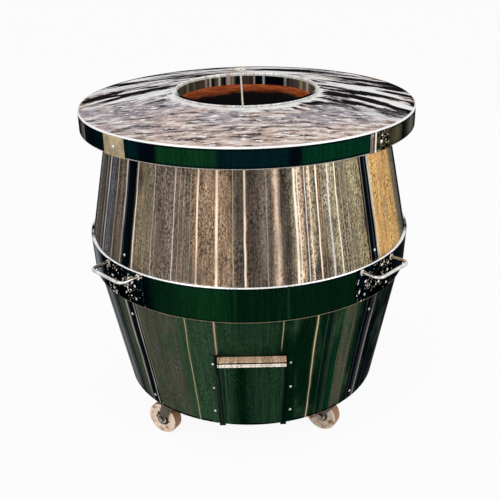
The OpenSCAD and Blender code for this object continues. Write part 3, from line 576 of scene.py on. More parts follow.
def barrel_steel(
    name, stops, lines, fringes=None, edges=(), patch=None, grain=0.25, speckle=0.2, limb=0.45,
    rough=(0.2, 0.34), satin=None, front=None,
):
    """Stainless sheet of the barrel, brushed or polished up and down the wall.

    Real grain is 0.1 mm wide; it is drawn about 3 mm wide so that it shows. Long reflections
    of the sheet's dents run down the wall as tones, fringes and bright lines. Each edge is the
    line along a fold: a height, an offset and a half width in millimetres, a strength and a
    tone. Limb is how much light the sheet keeps where it is seen edge-on. Above the satin height
    it is worn by hands and scatters the light. Front is a height and a tone: above it the side
    towards the door takes that tone."""
    f = Finish(name, {"Specular IOR Level": 0.0, "Specular Tint": (limb, limb, limb, 1.0)})
    across, x, y = f.around()
    drift = f.add("MapRange", (f.noise(9, 1), 0, 1, -0.003, 0.003))
    across = f.add("Math.ADD", (across, drift))
    around = f.add("CombineXYZ", (x, y))
    wall = f.add("VectorMath.MULTIPLY_ADD", (f.place, (0, 0, 0.1), around))
    fine = f.noise(120, 3, 0.65, (1, 1, 1), wall)
    broad = f.noise(22, 3, 0.5, (1, 1, 1.6), wall)
    mottle = f.noise(290, 2, 0.7, (1, 1, 0.5))
    where = f.noise(7, 2, stretch=(1, 1, 12), vector=wall)
    f.tones(across, stops)
    if patch:
        tone, low, high = patch
        f.blend(f.noise(17, 3, 0.6, (1, 1, 0.35)), low, high, tone)
    for height, offset, half, strength, tone in edges:
        near = f.add("Math.COMPARE", (f.z, height + offset * MM, half * MM))
        f.cover(f.add("Math.MULTIPLY", (near, strength)), tone)
    flicker = f.add("MapRange", (where, 0.3, 0.55, 0.45, 1))
    f.shade(broad, 0.3, 0.7, 1 - 0.8 * grain, 1 + 0.8 * grain)
    f.glints(across, flicker, fringes or {})
    f.shade(fine, 0.36, 0.64, 1 - grain, 1 + grain)
    # specks gather in patches
    spread = f.add("MapRange", (where, 0.4, 0.6, 0.35 * speckle, speckle))
    swing = f.add("MapRange", (mottle, 0.4, 0.6, -1, 1))
    f.scale(f.add("Math.MULTIPLY_ADD", (swing, spread, 1)))
    f.glints(across, flicker, lines)
    if front:
        above = f.add("Math.GREATER_THAN", (f.z, front[0]))
        facing = f.add("MapRange", (y, -0.15, -0.5, 0, 0.9))
        f.blend(f.add("Math.MULTIPLY", (above, facing)), 0, 0.9, front[1])
    worn = f.add("MapRange", (f.z, satin, satin + MM, 1, 0.2)) if satin else None
    f.mirror(0.05, 1, worn)
    return f.done(fine, 0.05, 0.6, (fine, *rough))


def bright_steel(name, tone, dark=0.35, rough=(0.12, 0.3), under=None):
    """Polished stainless rod or bead: scratches 0.3 mm wide dull it in patches.

    Below the height of under it mirrors the dark wall behind it."""
    f = Finish(name, {"Metallic": 1.0, "Specular Tint": (0.6, 0.6, 0.6, 1.0)})
    scratch = f.noise(900, 2, stretch=(1, 1, 0.25))
    patch = f.noise(45, 2)
    f.base = tint(tone)
    f.shade(scratch, 0.3, 0.7, 1 - 0.4 * dark, 1)
    f.shade(patch, 0.35, 0.65, 1 - dark, 1.05)
    if under:
        f.blend(f.z, under, under - MM, "ink")
    return f.done(scratch, 0.02, 0.5, (patch, *rough))


def plate_steel(name):
    """Hammered and hand-polished stainless sheet: swirls and dents throw dark and pale streaks.

    The streaks follow the rim behind the mouth, and turn to short ripples in front of it."""
    f = Finish(name, {"Specular IOR Level": 0.0, "Specular Tint": (0.7, 0.68, 0.66, 1.0)})
    flat = f.add("VectorMath.MULTIPLY", (f.place, (1, 1, 0)))
    radius = f.add("VectorMath.LENGTH", (flat,), "Value")
    # the streaks lie on rings round a point half a metre in front of the oven's axis
    ahead = f.add("VectorMath.MULTIPLY_ADD", (f.place, (1, 1, 0), (0, 0.5, 0)))
    away = f.add("VectorMath.NORMALIZE", (ahead,))
    reached = f.add("VectorMath.LENGTH", (ahead,), "Value")
    swayed = f.add("Math.MULTIPLY_ADD", (f.noise(9, 1), 0.015, reached))
    rings = f.add("VectorMath.ADD", (away, f.add("CombineXYZ", {"Z": swayed})))
    streak = f.noise(3.2, 1, 0.5, (1, 1, 13), rings)
    finer = f.noise(6.5, 1.2, 0.5, (1, 1, 10), rings)
    ripple = f.noise(38, stretch=(0.55, 1.9, 1))
    crumple = f.noise(85, 2, 0.5, (0.55, 1.6, 1))
    wide = f.noise(8, 2)
    grit = f.noise(260, 2, stretch=(0.7, 1.3, 1))
    # the front of the plate is warm, the sides and the back are cool
    f.base = tint("blush")
    f.blend(f.y, -0.38, -0.22, "lilac")
    f.blend(wide, 0.5, 0.68, "blush")
    f.shade(grit, 0.35, 0.65, 0.9, 1.08)
    # short ripples: grey troughs and pale crests
    f.shade(ripple, 0.38, 0.62, 0.6, 1.35)
    f.blend(crumple, 0.38, 0.34, "dusk")
    f.blend(ripple, 0.42, 0.37, "dusk")
    f.blend(ripple, 0.57, 0.60, "chalk")
    f.blend(crumple, 0.61, 0.635, "snow")
    # dark swirls behind the mouth and at its right, each with a pale edge
    behind = f.add("Math.MULTIPLY_ADD", (f.x, 0.25, f.y))
    patchy = f.add("Math.MULTIPLY_ADD", (wide, 0.3, behind))
    force = f.add("MapRange", (patchy, -0.04, 0.07), interpolation_type="SMOOTHSTEP")
    dark, pale = tint("iron"), tint("snow")
    # below the first level a streak is dark, above the second it is pale
    for amount, low, high in ((finer, 0.42, 0.60), (streak, 0.44, 0.575)):
        stops = [(low, dark), (low + 0.01, (*dark[:3], 0)), (high - 0.01, (*pale[:3], 0)), (high, pale)]
        f.overlay(f.ramp(amount, stops), force)
    # heat tint along the back of the rim
    warm = f.add("Math.MULTIPLY", (f.noise(7, 1), f.add("MapRange", (radius, 0.36, 0.42))))
    hot = f.add("Math.MULTIPLY", (warm, force))
    f.blend(hot, 0.56, 0.6, "copper")
    # bright line where the rim bends over, wide bright ring in front of the mouth
    f.blend(radius, 0.4255, 0.4275, "snow")
    ring = f.add("Math.MULTIPLY_ADD", (f.y, 0.05, radius))
    ragged = f.add("Math.MULTIPLY_ADD", (ripple, 0.06, ring))
    f.blend(ragged, 0.228, 0.222, "snow")
    # the rim's far side turns down and mirrors the dark
    far = f.add("Math.MULTIPLY_ADD", (f.y, 0.055, radius))
    f.blend(far, 0.4285, 0.4315, "iron")
    f.mirror(0, 0.3)
    return f.done(ripple, 0.5, 0.35, (ripple, 0.26, 0.42))


def mottled_steel(name, high, scale, lines=None):
    """Dull mirror sheet with a crumpled reflection: dark patches with small bright sparks."""
    f = Finish(name, {"Metallic": 1.0, "Specular Tint": (0.35, 0.35, 0.35, 1.0)})
    patch = f.noise(scale, 3, 0.6)
    crumb = f.noise(1.7 * scale, 2, 0.6, (1, 1, 0.8))
    # sparks gather in clusters
    sparks = f.add("Math.MULTIPLY_ADD", (f.noise(0.3 * scale, 1), 0.7, crumb))
    f.base = tint("ink")
    f.blend(patch, 0.40, 0.62, high)
    f.blend(sparks, 0.98, 1.03, "glint")
    if lines:
        f.glints(f.around()[0], 1, lines)
    return f.done(patch, 0.3, 0.4, (crumb, 0.2, 0.36))


def fired_clay(name):
    """Low-fired earthenware, thrown and scraped: orange at the lip, black with soot below."""
    f = Finish(name, {"Roughness": 0.93, "Specular IOR Level": 0.2})
    grain = f.noise(260, 4, 0.65)
    # scraping marks run round the pot
    scrape = f.noise(28, 3, 0.6, (1, 1, 9))
    f.base = tint("clay")
    f.blend(scrape, 0.35, 0.7, "clay_pale")
    f.shade(grain, 0.3, 0.7, 0.66, 1.15)
    ragged = f.add("Math.MULTIPLY_ADD", (f.noise(16), 0.03, f.z))
    f.blend(ragged, 0.885, 0.871, "soot")
    return f.done(grain, 1, 0.6)


def rough_mineral(name, tone, dark, scale, depth):
    """Cast refractory, fibre or iron: matt, grainy, with darker patches."""
    f = Finish(name, {"Roughness": 0.9, "Specular IOR Level": 0.25})
    grain = f.noise(scale, 4, 0.65)
    f.base = tint(tone)
    f.shade(grain, 0.3, 0.7, 1 - dark, 1.08)
    f.shade(f.noise(14, 2), 0.35, 0.65, 1 - 0.6 * dark, 1.05)
    return f.done(grain, depth, 0.7)


def plated_steel(name, tone, metallic, rough):
    """Zinc plate or satin paint on pressed steel: a fine orange peel with scuffs on it."""
    f = Finish(name, {"Metallic": metallic})
    peel = f.noise(700, 2)
    scuff = f.noise(60, 4, 0.65, (1, 1, 0.3))
    f.base = tint(tone)
    f.shade(scuff, 0.3, 0.7, 0.72, 1.18)
    f.shade(peel, 0.3, 0.7, 0.94, 1.04)
    return f.done(peel, 0.05, 0.5, (scuff, rough - 0.08, rough + 0.1))


def moulded_nylon(name):
    """Moulded nylon wheel: satin cream, with black grease round the hub and a grimy tread.

    The wheel's mesh holds each point's distance from the axle."""
    f = Finish(name, {"IOR": 1.53})
    grime = f.noise(42, 3, 0.6)
    fine = f.noise(500, 2)
    away = f.add("Attribute", (), "Fac", attribute_type="GEOMETRY", attribute_name="from_axle")
    ragged = f.add("Math.MULTIPLY_ADD", (grime, 0.03, away))
    f.base = tint("nylon")
    f.blend(grime, 0.5, 0.7, "nylon_worn")
    clean = f.base
    f.blend(away, 0.0125, 0.0145, "soot")
    f.blend(ragged, 0.034, 0.038, clean)
    f.blend(away, 0.0432, 0.0444, "nylon_worn")
    f.shade(fine, 0.3, 0.7, 0.93, 1.04)
    return f.done(fine, 0.05, 0.5, (grime, 0.38, 0.6))


MATERIALS = {}


def finish_of(maker, name, *args, **settings):
    """Each material is built once."""
    if name not in MATERIALS:
        MATERIALS[name] = maker(name, *args, **settings)
    return MATERIALS[name]


def fastener():
    return finish_of(bright_steel, "rivet_steel", "silver", 0.5, (0.2, 0.4))


def zinc():
    return finish_of(plated_steel, "zinc_plate", "zinc", 1, 0.34)


def black_paint():
    return finish_of(plated_steel, "satin_black_paint", "paint", 0, 0.5)


def skirt_steel(foot, top):
    """Mirror sheet of the rim skirt, dark where it folds in at the top and at the hem."""
    stops = {
        "ink": [-90, -70, -62, -33, -28, 12.5, 15, 46, 58, 72, 90], "bark": [-66],
        "teal": [-38, -34.5, -8, 11], "forest": [-26.5, -10], "pine": [16.5, 40], "olive": [54, 66],
    }
    lines = {"cream": [(-64.5, 0.5, 0.5), (42.8, 0.7, 0.7)], "glint": [(41.7, 0.5, 0.9)]}
    edges = [
        (top, -2, 2.6, 0.8, "ink"), (foot, 5.2, 2.2, 0.7, "ink"),
        (foot, 1.2, 1.4, 0.5, "chalk"),
    ]
    return finish_of(
        barrel_steel, "mirror_skirt_steel", stops, lines, edges=edges, grain=0.22, speckle=0.28
    )


def clip_steel(corner):
    """Brushed clip steel at the left; the right clips mirror the dark, with bright folds."""
    if corner.endswith("left"):
        return finish_of(bright_steel, "brushed_clip_steel", "tan", 0.5, (0.3, 0.45))
    lines = {"blush": [(39.3, 0.9, 0.9)], "dusk": [(40.2, 0.6, 0.8)], "glint": [(41.3, 0.45, 1)]}
    return finish_of(mottled_steel, "mirror_clip_steel", "olive", 110, lines)


def collar_steel(foot, crest):
    """Polished collar with tall reflections of the clay and the sky, and a bright bead."""
    stops = {
        "olive": [-90, 90], "bark": [-50, -42, 0, 45], "umber": [-36, -27, -12],
        "ink": [-31, -19.5, -8, 10, 35], "reed": [60],
    }
    lines = {
        "cream": [(-62, 3, 0.5), (-52, 1.2, 0.4), (-12, 1.2, 0.5), (56, 3, 0.6)],
        "blush": [(-38, 1.6, 0.8), (-16, 2.8, 1), (7.3, 1.2, 0.9)],
        "glint": [(-33.6, 1.3, 1), (-24.4, 1.3, 1)],
        "chalk": [(16, 1.4, 0.9), (37, 1.8, 0.7), (66, 3, 0.8)],
    }
    return finish_of(
        barrel_steel, "polished_collar_steel", stops, lines,
        edges=[(crest, 0.2, 4.4, 1, "silver")], grain=0.3, limb=0.5,
        satin=foot - 2 * MM, front=(crest + 0.8 * MM, "ink"),
    )


def shell_steel():
    """Brushed sheet of the upper shell: grey-brown bands with bright and heat-tinted lines."""
    stops = {
        "ink": [-90, -77, 75.5, 90], "bark": [-75.5, -67, -55, -48, -3, 2, 12.5],
        "umber": [-72, -51, -43, -33, -18.5, 6, 19, 24], "slate": [-59], "reed": [-39, 34, 69],
        "sand": [-14, -8], "straw": [16, 21, 29, 41], "ochre": [49, 64], "olive": [73],
    }
    fringes = {
        "slate": [(-60, 1, 0.5)],
        "copper": [
            (-41.6, 0.4, 0.5), (-18, 0.8, 0.5), (-16.5, 0.4, 0.4), (-10.4, 1, 0.7), (-1.2, 0.8, 0.55),
            (24.4, 0.6, 0.35),
        ],
        "peach": [(9.2, 1.6, 0.8), (16.8, 1.8, 0.6), (20.8, 0.7, 0.6)], "lilac": [(28.3, 1, 0.5)],
    }
    lines = {
        "ink": [
            (-70.5, 0.7, 0.7), (-66.5, 0.6, 0.8), (-63.2, 0.4, 0.9), (-60.6, 0.4, 0.8), (-57, 0.3, 0.4),
            (-53, 0.3, 0.6), (-50.2, 0.3, 0.7), (-43.2, 0.4, 1),
        ],
        "chalk": [
            (-64.8, 0.4, 0.5), (-61.8, 0.5, 1), (-54.6, 0.3, 0.6), (-48.8, 0.4, 0.8), (-34.3, 0.22, 0.5),
            (5.9, 0.16, 0.45), (9.3, 0.6, 0.6), (19.4, 0.22, 0.9), (20.9, 0.3, 0.6), (28.3, 0.35, 0.85),
            (33.6, 0.16, 0.4), (36, 0.16, 0.4), (56, 0.4, 0.35),
        ],
        "glint": [
            (-42.5, 0.4, 1), (-25.9, 0.2, 0.7), (-17.2, 0.4, 1), (-10.5, 0.55, 1), (-1.35, 0.42, 1),
            (15.7, 0.55, 1), (16.8, 0.3, 0.8), (23.7, 0.32, 1), (31.5, 0.3, 0.9), (49.2, 0.3, 0.7),
        ],
        "peach": [(-23.9, 0.16, 0.5), (-22.2, 0.16, 0.5), (18.2, 0.18, 0.5)],
        "cream": [(-19.7, 0.15, 0.5), (-5.2, 0.18, 0.7), (25.6, 0.14, 0.4)],
    }
    return finish_of(
        barrel_steel, "brushed_shell_steel", stops, lines, fringes,
        patch=("bark", 0.56, 0.72), grain=0.34, speckle=0.7, rough=(0.26, 0.42),
    )


def band_steel(foot, top):
    """Mirror sheet of the band, almost black-green, with a white line along its top fold."""
    stops = {
        "ink": [-90, -74, -60, -38, -35, 40, 90], "slate": [-66], "spruce": [-31, -4, 4, 20, 36],
        "forest": [-12],
    }
    lines = {"ink": [(-81, 8.8, 1), (81, 8.8, 1)], "moss": [(-5, 0.12, 0.4), (12, 0.15, 0.4)]}
    edges = [
        (top, -1, 2.6, 1, "snow"), (top, -6, 2.4, 0.6, "ink"),
        (foot, 3.4, 1.8, 0.7, "ink"), (foot, 0.6, 0.9, 0.7, "straw"),
    ]
    return finish_of(
        barrel_steel, "mirror_band_steel", stops, lines, edges=edges,
        grain=0.2, speckle=0.24, rough=(0.16, 0.26),
    )


def lower_steel(foot):
    """Mirror sheet of the lower shell: greens and greys, dark along its foot."""
    stops = {
        "ink": [-90, -76, 44, 62, 90], "ash": [-73, -51, -46, -34, -28, 35.5, 38.5], "slate": [-70, -61],
        "teal": [-66, -57], "fern": [-24, -18, -13], "holly": [-10, 6], "spruce": [12, 20, 28, 41.5],
        "pine": [33],
    }
    fringes = {
        "dusk": [(-37, 1.4, 0.4)],
        "olive": [(-22.6, 0.8, 0.6), (22.6, 0.9, 0.6), (30, 0.7, 0.3), (35, 0.7, 0.4)],
        "bark": [(-12.2, 0.8, 0.8)],
    }
    lines = {
        "chalk": [
            (-66, 0.3, 0.25), (-57, 0.25, 0.3), (-49.2, 0.3, 0.6), (-43, 0.25, 0.4), (-5, 0.12, 0.3),
            (49.5, 0.26, 0.7),
        ],
        "cream": [(-22.6, 0.24, 0.8), (10.6, 0.18, 0.6), (22.6, 0.3, 0.95)], "peach": [(-12.2, 0.32, 1)],
        "slate": [(26.5, 0.14, 0.35), (29, 0.14, 0.35), (55, 0.2, 0.3)],
        "straw": [(34, 0.2, 0.3), (39, 0.3, 0.3)],
    }
    edges = [(foot, 3.2, 3.4, 1, "ink")]
    return finish_of(
        barrel_steel, "mirror_barrel_steel", stops, lines, fringes, edges,
        patch=("fern", 0.45, 0.8), grain=0.22, speckle=0.4,
    )


def strip_steel(level):
    """Dark mirror strip with the bright lines of its edges and folds."""
    if level == "upper":
        lines = {
            "chalk": [(-48, 0.35, 0.9), (44, 0.2, 0.7)], "slate": [(-47.1, 0.2, 0.8), (46.2, 0.2, 0.5)],
            "teal": [(-45.4, 0.3, 0.5)], "glint": [(47.9, 0.4, 1)],
        }
    else:
        lines = {
            "chalk": [(-48, 0.35, 0.9), (-43.95, 0.3, 0.8), (47.9, 0.3, 0.3)],
            "slate": [(-47.1, 0.2, 0.8), (44.1, 0.2, 0.4), (46.6, 0.3, 0.35)], "teal": [(-45.4, 0.3, 0.5)],
        }
    return finish_of(barrel_steel, level + "_strip_steel", {"ink": [-90, 90]}, lines)


def door_steel(top):
    """Mirror panel under a warm shelf and its worn bright lip, with dark lines beside them."""
    stops = {"holly": [-90, -9, 3, 90], "spruce": [-4]}
    lines = {"moss": [(-10.7, 0.16, 0.8), (8.7, 0.12, 0.4)], "slate": [(-9.7, 0.14, 0.7)]}
    edges = [
        (top, -2, 3, 1, "peach"), (top, -12.4, 5.4, 1, "glint"),
        (top, -12, 1, 0.8, "blush"), (top, -5.9, 1.7, 1, "ink"),
        (top, -20.4, 2.8, 1, "ink"),
    ]
    return finish_of(
        barrel_steel, "mirror_door_steel", stops, lines, edges=edges,
        grain=0.3, speckle=0.5, satin=top - 20 * MM,
    )


def guide_steel():
    """Mirror sheet of the door's guides, with a dark line along each web."""
    stops = {
        "moss": [-90], "fern": [-14], "ink": [-12.7, -12, 11.6, 12.3], "holly": [-11.3, -9.8, 9.8, 11],
        "spruce": [12.8, 90],
    }
    lines = {
        "ash": [(-12.3, 0.2, 0.8), (-10.1, 0.14, 0.5), (10.7, 0.16, 0.5)], "ink": [(-10.6, 0.2, 0.9)],
    }
    return finish_of(barrel_steel, "mirror_guide_steel", stops, lines, grain=0.2, speckle=0.35)


# ---- operators: one for each piece or group of like pieces ----


class TANDOOR_OT_top(bpy.types.Operator):
    """Top plate with its ground weld, the rim skirt, the clips and the mouth collar"""

    bl_idname = "tandoor.top"
    bl_label = "Top plate and mouth"

    def execute(self, context):
        self.plate()
        self.skirt()
        for corner in CORNERS:
            worked_copy("rim_clip_" + corner, clip_steel(corner), sizes().cut_edge)
        dress("rim_clip_screws", fastener())
        self.collar()
        return {"FINISHED"}

    @staticmethod
    def plate():
        size = sizes()
        sheet, bend = size.plate_sheet, size.rim_bend
        low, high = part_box("top_plate")
        rim, outer, inner = low.z + bend, high.x, reach("top_plate", high.z)[0]
        centre = (outer - bend, rim - bend)
        outline = [(inner, high.z - sheet), (inner, high.z)]
        outline += arc(centre, bend, 90, 0, 6) + arc(centre, bend - sheet, 0, 90, 6)
        steel = finish_of(plate_steel, "polished_plate_steel")
        plate = turned("top_plate_sheet", outline, steel, RIM_SEGMENTS, size.plate_ripple, DOWN)
        stand_for(plate, "top_plate")
        # the plate is closed by one nearly radial weld, ground down to a low bead
        steel = finish_of(bright_steel, "ground_weld_steel", "glint", 0.6, (0.3, 0.45))
        from_mouth, from_rim, height, sunk = 28 * MM, 6 * MM, 1.2 * MM, 0.3 * MM
        start, turn = 22.6, -5
        path = []
        for share in [i / 24 for i in range(25)]:
            r = inner + from_mouth + (outer - inner - from_mouth - from_rim) * share
            angle = math.radians(start + turn * share)
            z = rim + (high.z - rim) * (outer - r) / (outer - inner) - sunk
            path.append((r * math.sin(angle), -r * math.cos(angle), z))
        weld("plate_seam", path, steel, size.seam_width, height, "top_plate", False)

    @staticmethod
    def skirt():
        size = sizes()
        hem = size.rim_hem
        low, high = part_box("rim_skirt")
        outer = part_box("top_plate")[1].x
        outline = [(outer - size.plate_sheet, high.z), (outer, high.z)]
        outline += arc((outer - hem, low.z + hem), hem, 0, -270, 18)
        steel, ripple = skirt_steel(low.z, high.z), 0.25 * size.shell_ripple
        stand_for(turned("rim_skirt_sheet", outline, steel, RIM_SEGMENTS, ripple), "rim_skirt")

    @staticmethod
    def collar():
        low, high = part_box("mouth_collar")
        inner, outer = reach("mouth_collar", low.z)
        bead = sizes().bead
        crest = high.z - bead
        # the bead's sheet rolls round until it meets the collar's outside
        meet = 90 + math.degrees(math.asin((bead - (outer - inner)) / bead))
        roll = arc((inner + bead, crest), bead, 180, -meet - 90, 20)
        outline = [(inner, low.z), *roll, (outer, low.z)]
        steel = collar_steel(low.z, crest)
        stand_for(turned("mouth_collar_ring", outline, steel, COLLAR_SEGMENTS), "mouth_collar")


class TANDOOR_OT_barrel(bpy.types.Operator):
    """The two shells, the band between them and the cover strips"""

    bl_idname = "tandoor.barrel"
    bl_label = "Barrel sheets"

    def execute(self, context):
        self.shell()
        self.band()
        dress("lower_shell", lower_steel(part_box("lower_shell")[0].z))
        for corner in CORNERS:
            for level in ("upper", "lower"):
                worked_copy(f"{level}_strip_{corner}", strip_steel(level), sizes().cut_edge)
        return {"FINISHED"}

    @staticmethod
    def shell():
        low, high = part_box("upper_shell")
        foot, top = reach("upper_shell", low.z), reach("upper_shell", high.z)
        outline = [(foot[0], low.z), (foot[1], low.z), (top[1], high.z), (top[0], high.z)]
        steel, ripple = shell_steel(), sizes().shell_ripple
        shell = turned("upper_shell_sheet", outline, steel, BARREL_SEGMENTS, ripple)
        stand_for(shell, "upper_shell")

    @staticmethod
    def band():
        size = sizes()
        sheet, fold = size.barrel_sheet, size.band_fold
        low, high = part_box("middle_band")
        inner, outer = reach("middle_band", low.z)
        centre = (high.x - fold, high.z - fold)
        outline = [(inner, low.z), (outer, low.z), *arc(centre, fold, 0, 90, 6)]
        outline += [(inner, high.z), (inner, high.z - sheet), *arc(centre, fold - sheet, 90, 0, 4)]
        outline += [(outer - sheet, low.z + sheet), (inner, low.z + sheet)]
        steel, ripple = band_steel(low.z, high.z), 0.4 * size.shell_ripple
        band = turned("middle_band_sheet", outline, steel, BARREL_SEGMENTS, ripple)
        stand_for(band, "middle_band")


class TANDOOR_OT_handles(bpy.types.Operator):
    """Four rod handles with their weld beads and riveted back plates"""

    bl_idname = "tandoor.handles"
    bl_label = "Handles"

    def execute(self, context):
        size = sizes()
        crumpled = finish_of(mottled_steel, "crumpled_plate_steel", "teal", 120)
        bead = finish_of(bright_steel, "weld_bead_steel", "chalk", 0.45, (0.3, 0.5))
        rod, half, bend = size.rod / 2, size.handle_width / 2, size.handle_bend
        # the rod's ends stop short of the shell, and a bead lies round each on the back plate
        short, plate_face, beside, steps = 0.5 * MM, 1.6 * MM, 1.1 * MM, 24
        dark_side = 0.6 * MM  # so far below its axis the rod mirrors the dark wall
        for i, corner in enumerate(CORNERS):
            side = -1 if corner.endswith("left") else 1
            angle = side * (size.strip_angle if i < 2 else math.pi - size.strip_angle)
            turn = Matrix.Rotation(angle, 4, "Z")
            # the handle is laid out as at the front, then turned to its corner
            points = [turn.inverted() @ v.co for v in NODES["handle_" + corner].data.vertices]
            grip = min(p.y for p in points) + rod
            foot = max(p.y for p in points) - short
            z = sum(p.z for p in points) / len(points)
            path = [(-half, foot), (-half, grip + bend)]
            path += arc((-half + bend, grip + bend), bend, 180, 270, 10)[1:]
            path += arc((half - bend, grip + bend), bend, 270, 360, 10)
            path += [(half, foot)]
            obj = wire("handle_rod_" + corner, [turn @ Vector((*p, z)) for p in path], False)
            under = z - dark_side
            steel = finish_of(bright_steel, "polished_rod_steel", "silver", under=under)
            grow(obj, bent_rod_tree(), Radius=rod, Sides=20, Material=steel)
            close_up(obj.data, 50)
            stand_for(obj, "handle_" + corner)
            around = rod + beside
            for x, mark in ((-half, "_a"), (half, "_b")):
                seat = max(p.y for p in points if abs(p.x - x) < 2 * rod) - plate_face
                turns = [2 * math.pi * k / steps for k in range(steps)]
                ring = [(x + around * math.cos(a), seat, z + around * math.sin(a)) for a in turns]
                ring = [turn @ Vector(p) for p in ring]
                name, width = "handle_weld_" + corner + mark, size.weld_width
                weld(name, ring, bead, width, width, "handle_plate_" + corner)
            worked_copy("handle_plate_" + corner, crumpled, size.cut_edge)
        return {"FINISHED"}


class TANDOOR_OT_door(bpy.types.Operator):
    """Sliding air door in its guides, and the duct behind it"""

    bl_idname = "tandoor.door"
    bl_label = "Air door"

    def execute(self, context):
        edge = sizes().cut_edge
        worked_copy("air_shutter", door_steel(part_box("air_shutter")[1].z), edge)
        for side in ("left", "right"):
            worked_copy("shutter_guide_" + side, guide_steel(), edge)
        dress("air_duct", black_paint())
        return {"FINISHED"}


class TANDOOR_OT_fire(bpy.types.Operator):
    """Clay pot, its fill and bed, and the cast fire grate"""

    bl_idname = "tandoor.fire"
    bl_label = "Clay pot and grate"

    def execute(self, context):
        size = sizes()
        bm = merged("clay_pot")
        while long := [e for e in bm.edges if e.calc_length() > size.clay_cell]:
            bmesh.ops.subdivide_edges(bm, edges=long, cuts=1, use_grid_fill=True)
            bmesh.ops.triangulate(bm, faces=[f for f in bm.faces if len(f.verts) > 3])
        bmesh.ops.recalc_face_normals(bm, faces=bm.faces)
        bm.normal_update()
        low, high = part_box("clay_pot")
        per_metre = 42.0  # the lumps of the thrown clay are about 24 mm wide
        # the clay is pressed in only, so that it stays clear of the steel round it
        for v in bm.verts:
            outward = Vector((v.co.x, v.co.y, 0)).normalized()
            inside = 1 if outward.dot(v.normal) < 0 else -1
            lump = 0.5 + 0.5 * noise.noise(v.co * per_metre)
            v.co += outward * inside * size.clay_grain * lump
            v.co.z = min(max(v.co.z, low.z), high.z)
        pot = made("clay_pot_body", bm, finish_of(fired_clay, "fired_clay"))
        pot.data.shade_smooth()
        stand_for(pot, "clay_pot")
        dress("insulation", finish_of(rough_mineral, "ceramic_fibre", "fibre", 0.2, 180, 0.8))
        stone = finish_of(rough_mineral, "cast_refractory", "refractory", 0.35, 240, 0.5)
        dress("refractory_bed", stone)
        dress("neck_seal", stone)
        iron = finish_of(rough_mineral, "sand_cast_iron", "castiron", 0.4, 320, 0.4)
        worked_copy("fire_grate", iron, size.cast_edge)
        return {"FINISHED"}


class TANDOOR_OT_fasteners(bpy.types.Operator):
    """Domed rivet heads on the strips, the handle plates and the guides"""

    bl_idname = "tandoor.fasteners"
    bl_label = "Rivets"

    def execute(self, context):
        size = sizes()
        skins = {
            "strip_rivets": ("upper_shell", "lower_shell"),
            "handle_rivets": ("middle_band",),
            "guide_rivets": ("lower_shell",),
        }
        for node, shells in skins.items():
            places = []
            for points in self.islands(node):
                middle = sum(points, Vector()) / len(points)
                shell = min(shells, key=lambda s: abs(sum(b.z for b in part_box(s)) / 2 - middle.z))
                low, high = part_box(shell)
                foot = reach(shell, low.z)[1]
                top = high.x if shell == "middle_band" else reach(shell, high.z)[1]
                # a head faces straight out of the cone that it sits on
                out = Vector((middle.x, middle.y, 0)).normalized()
                out = (out * (high.z - low.z) - Vector((0, 0, top - foot))).normalized()
                tip = max(p.dot(out) for p in points)
                seat = middle + out * (tip - middle.dot(out) - size.rivet_height)
                places.append((seat, out))
            obj = point_cloud(node + "_heads", places)
            head = {"Radius": size.rivet, "Height": size.rivet_height}
            grow(obj, rivet_tree(), **head, Material=fastener())
            obj.data.shade_smooth()
            stand_for(obj, node)
        return {"FINISHED"}

    @staticmethod
    def islands(node):
        """The vertices of each separate fastener of a CAD node."""
        bm = merged(node)
        seen, groups = set(), []
        for first in bm.verts:
            if first not in seen:
                seen.add(first)
                group = [first]
                for v in group:
                    fresh = [w for w in (e.other_vert(v) for e in v.link_edges) if w not in seen]
                    seen.update(fresh)
                    group += fresh
                groups.append([v.co.copy() for v in group])
        bm.free()
        return groups


class TANDOOR_OT_base(bpy.types.Operator):
    """Base plate, base frame and the caster bolts"""

    bl_idname = "tandoor.base"
    bl_label = "Base"

    def execute(self, context):
        dress("base_plate", black_paint())
        worked_copy("base_frame", black_paint(), sizes().cut_edge)
        dress("caster_bolts", zinc())
        return {"FINISHED"}


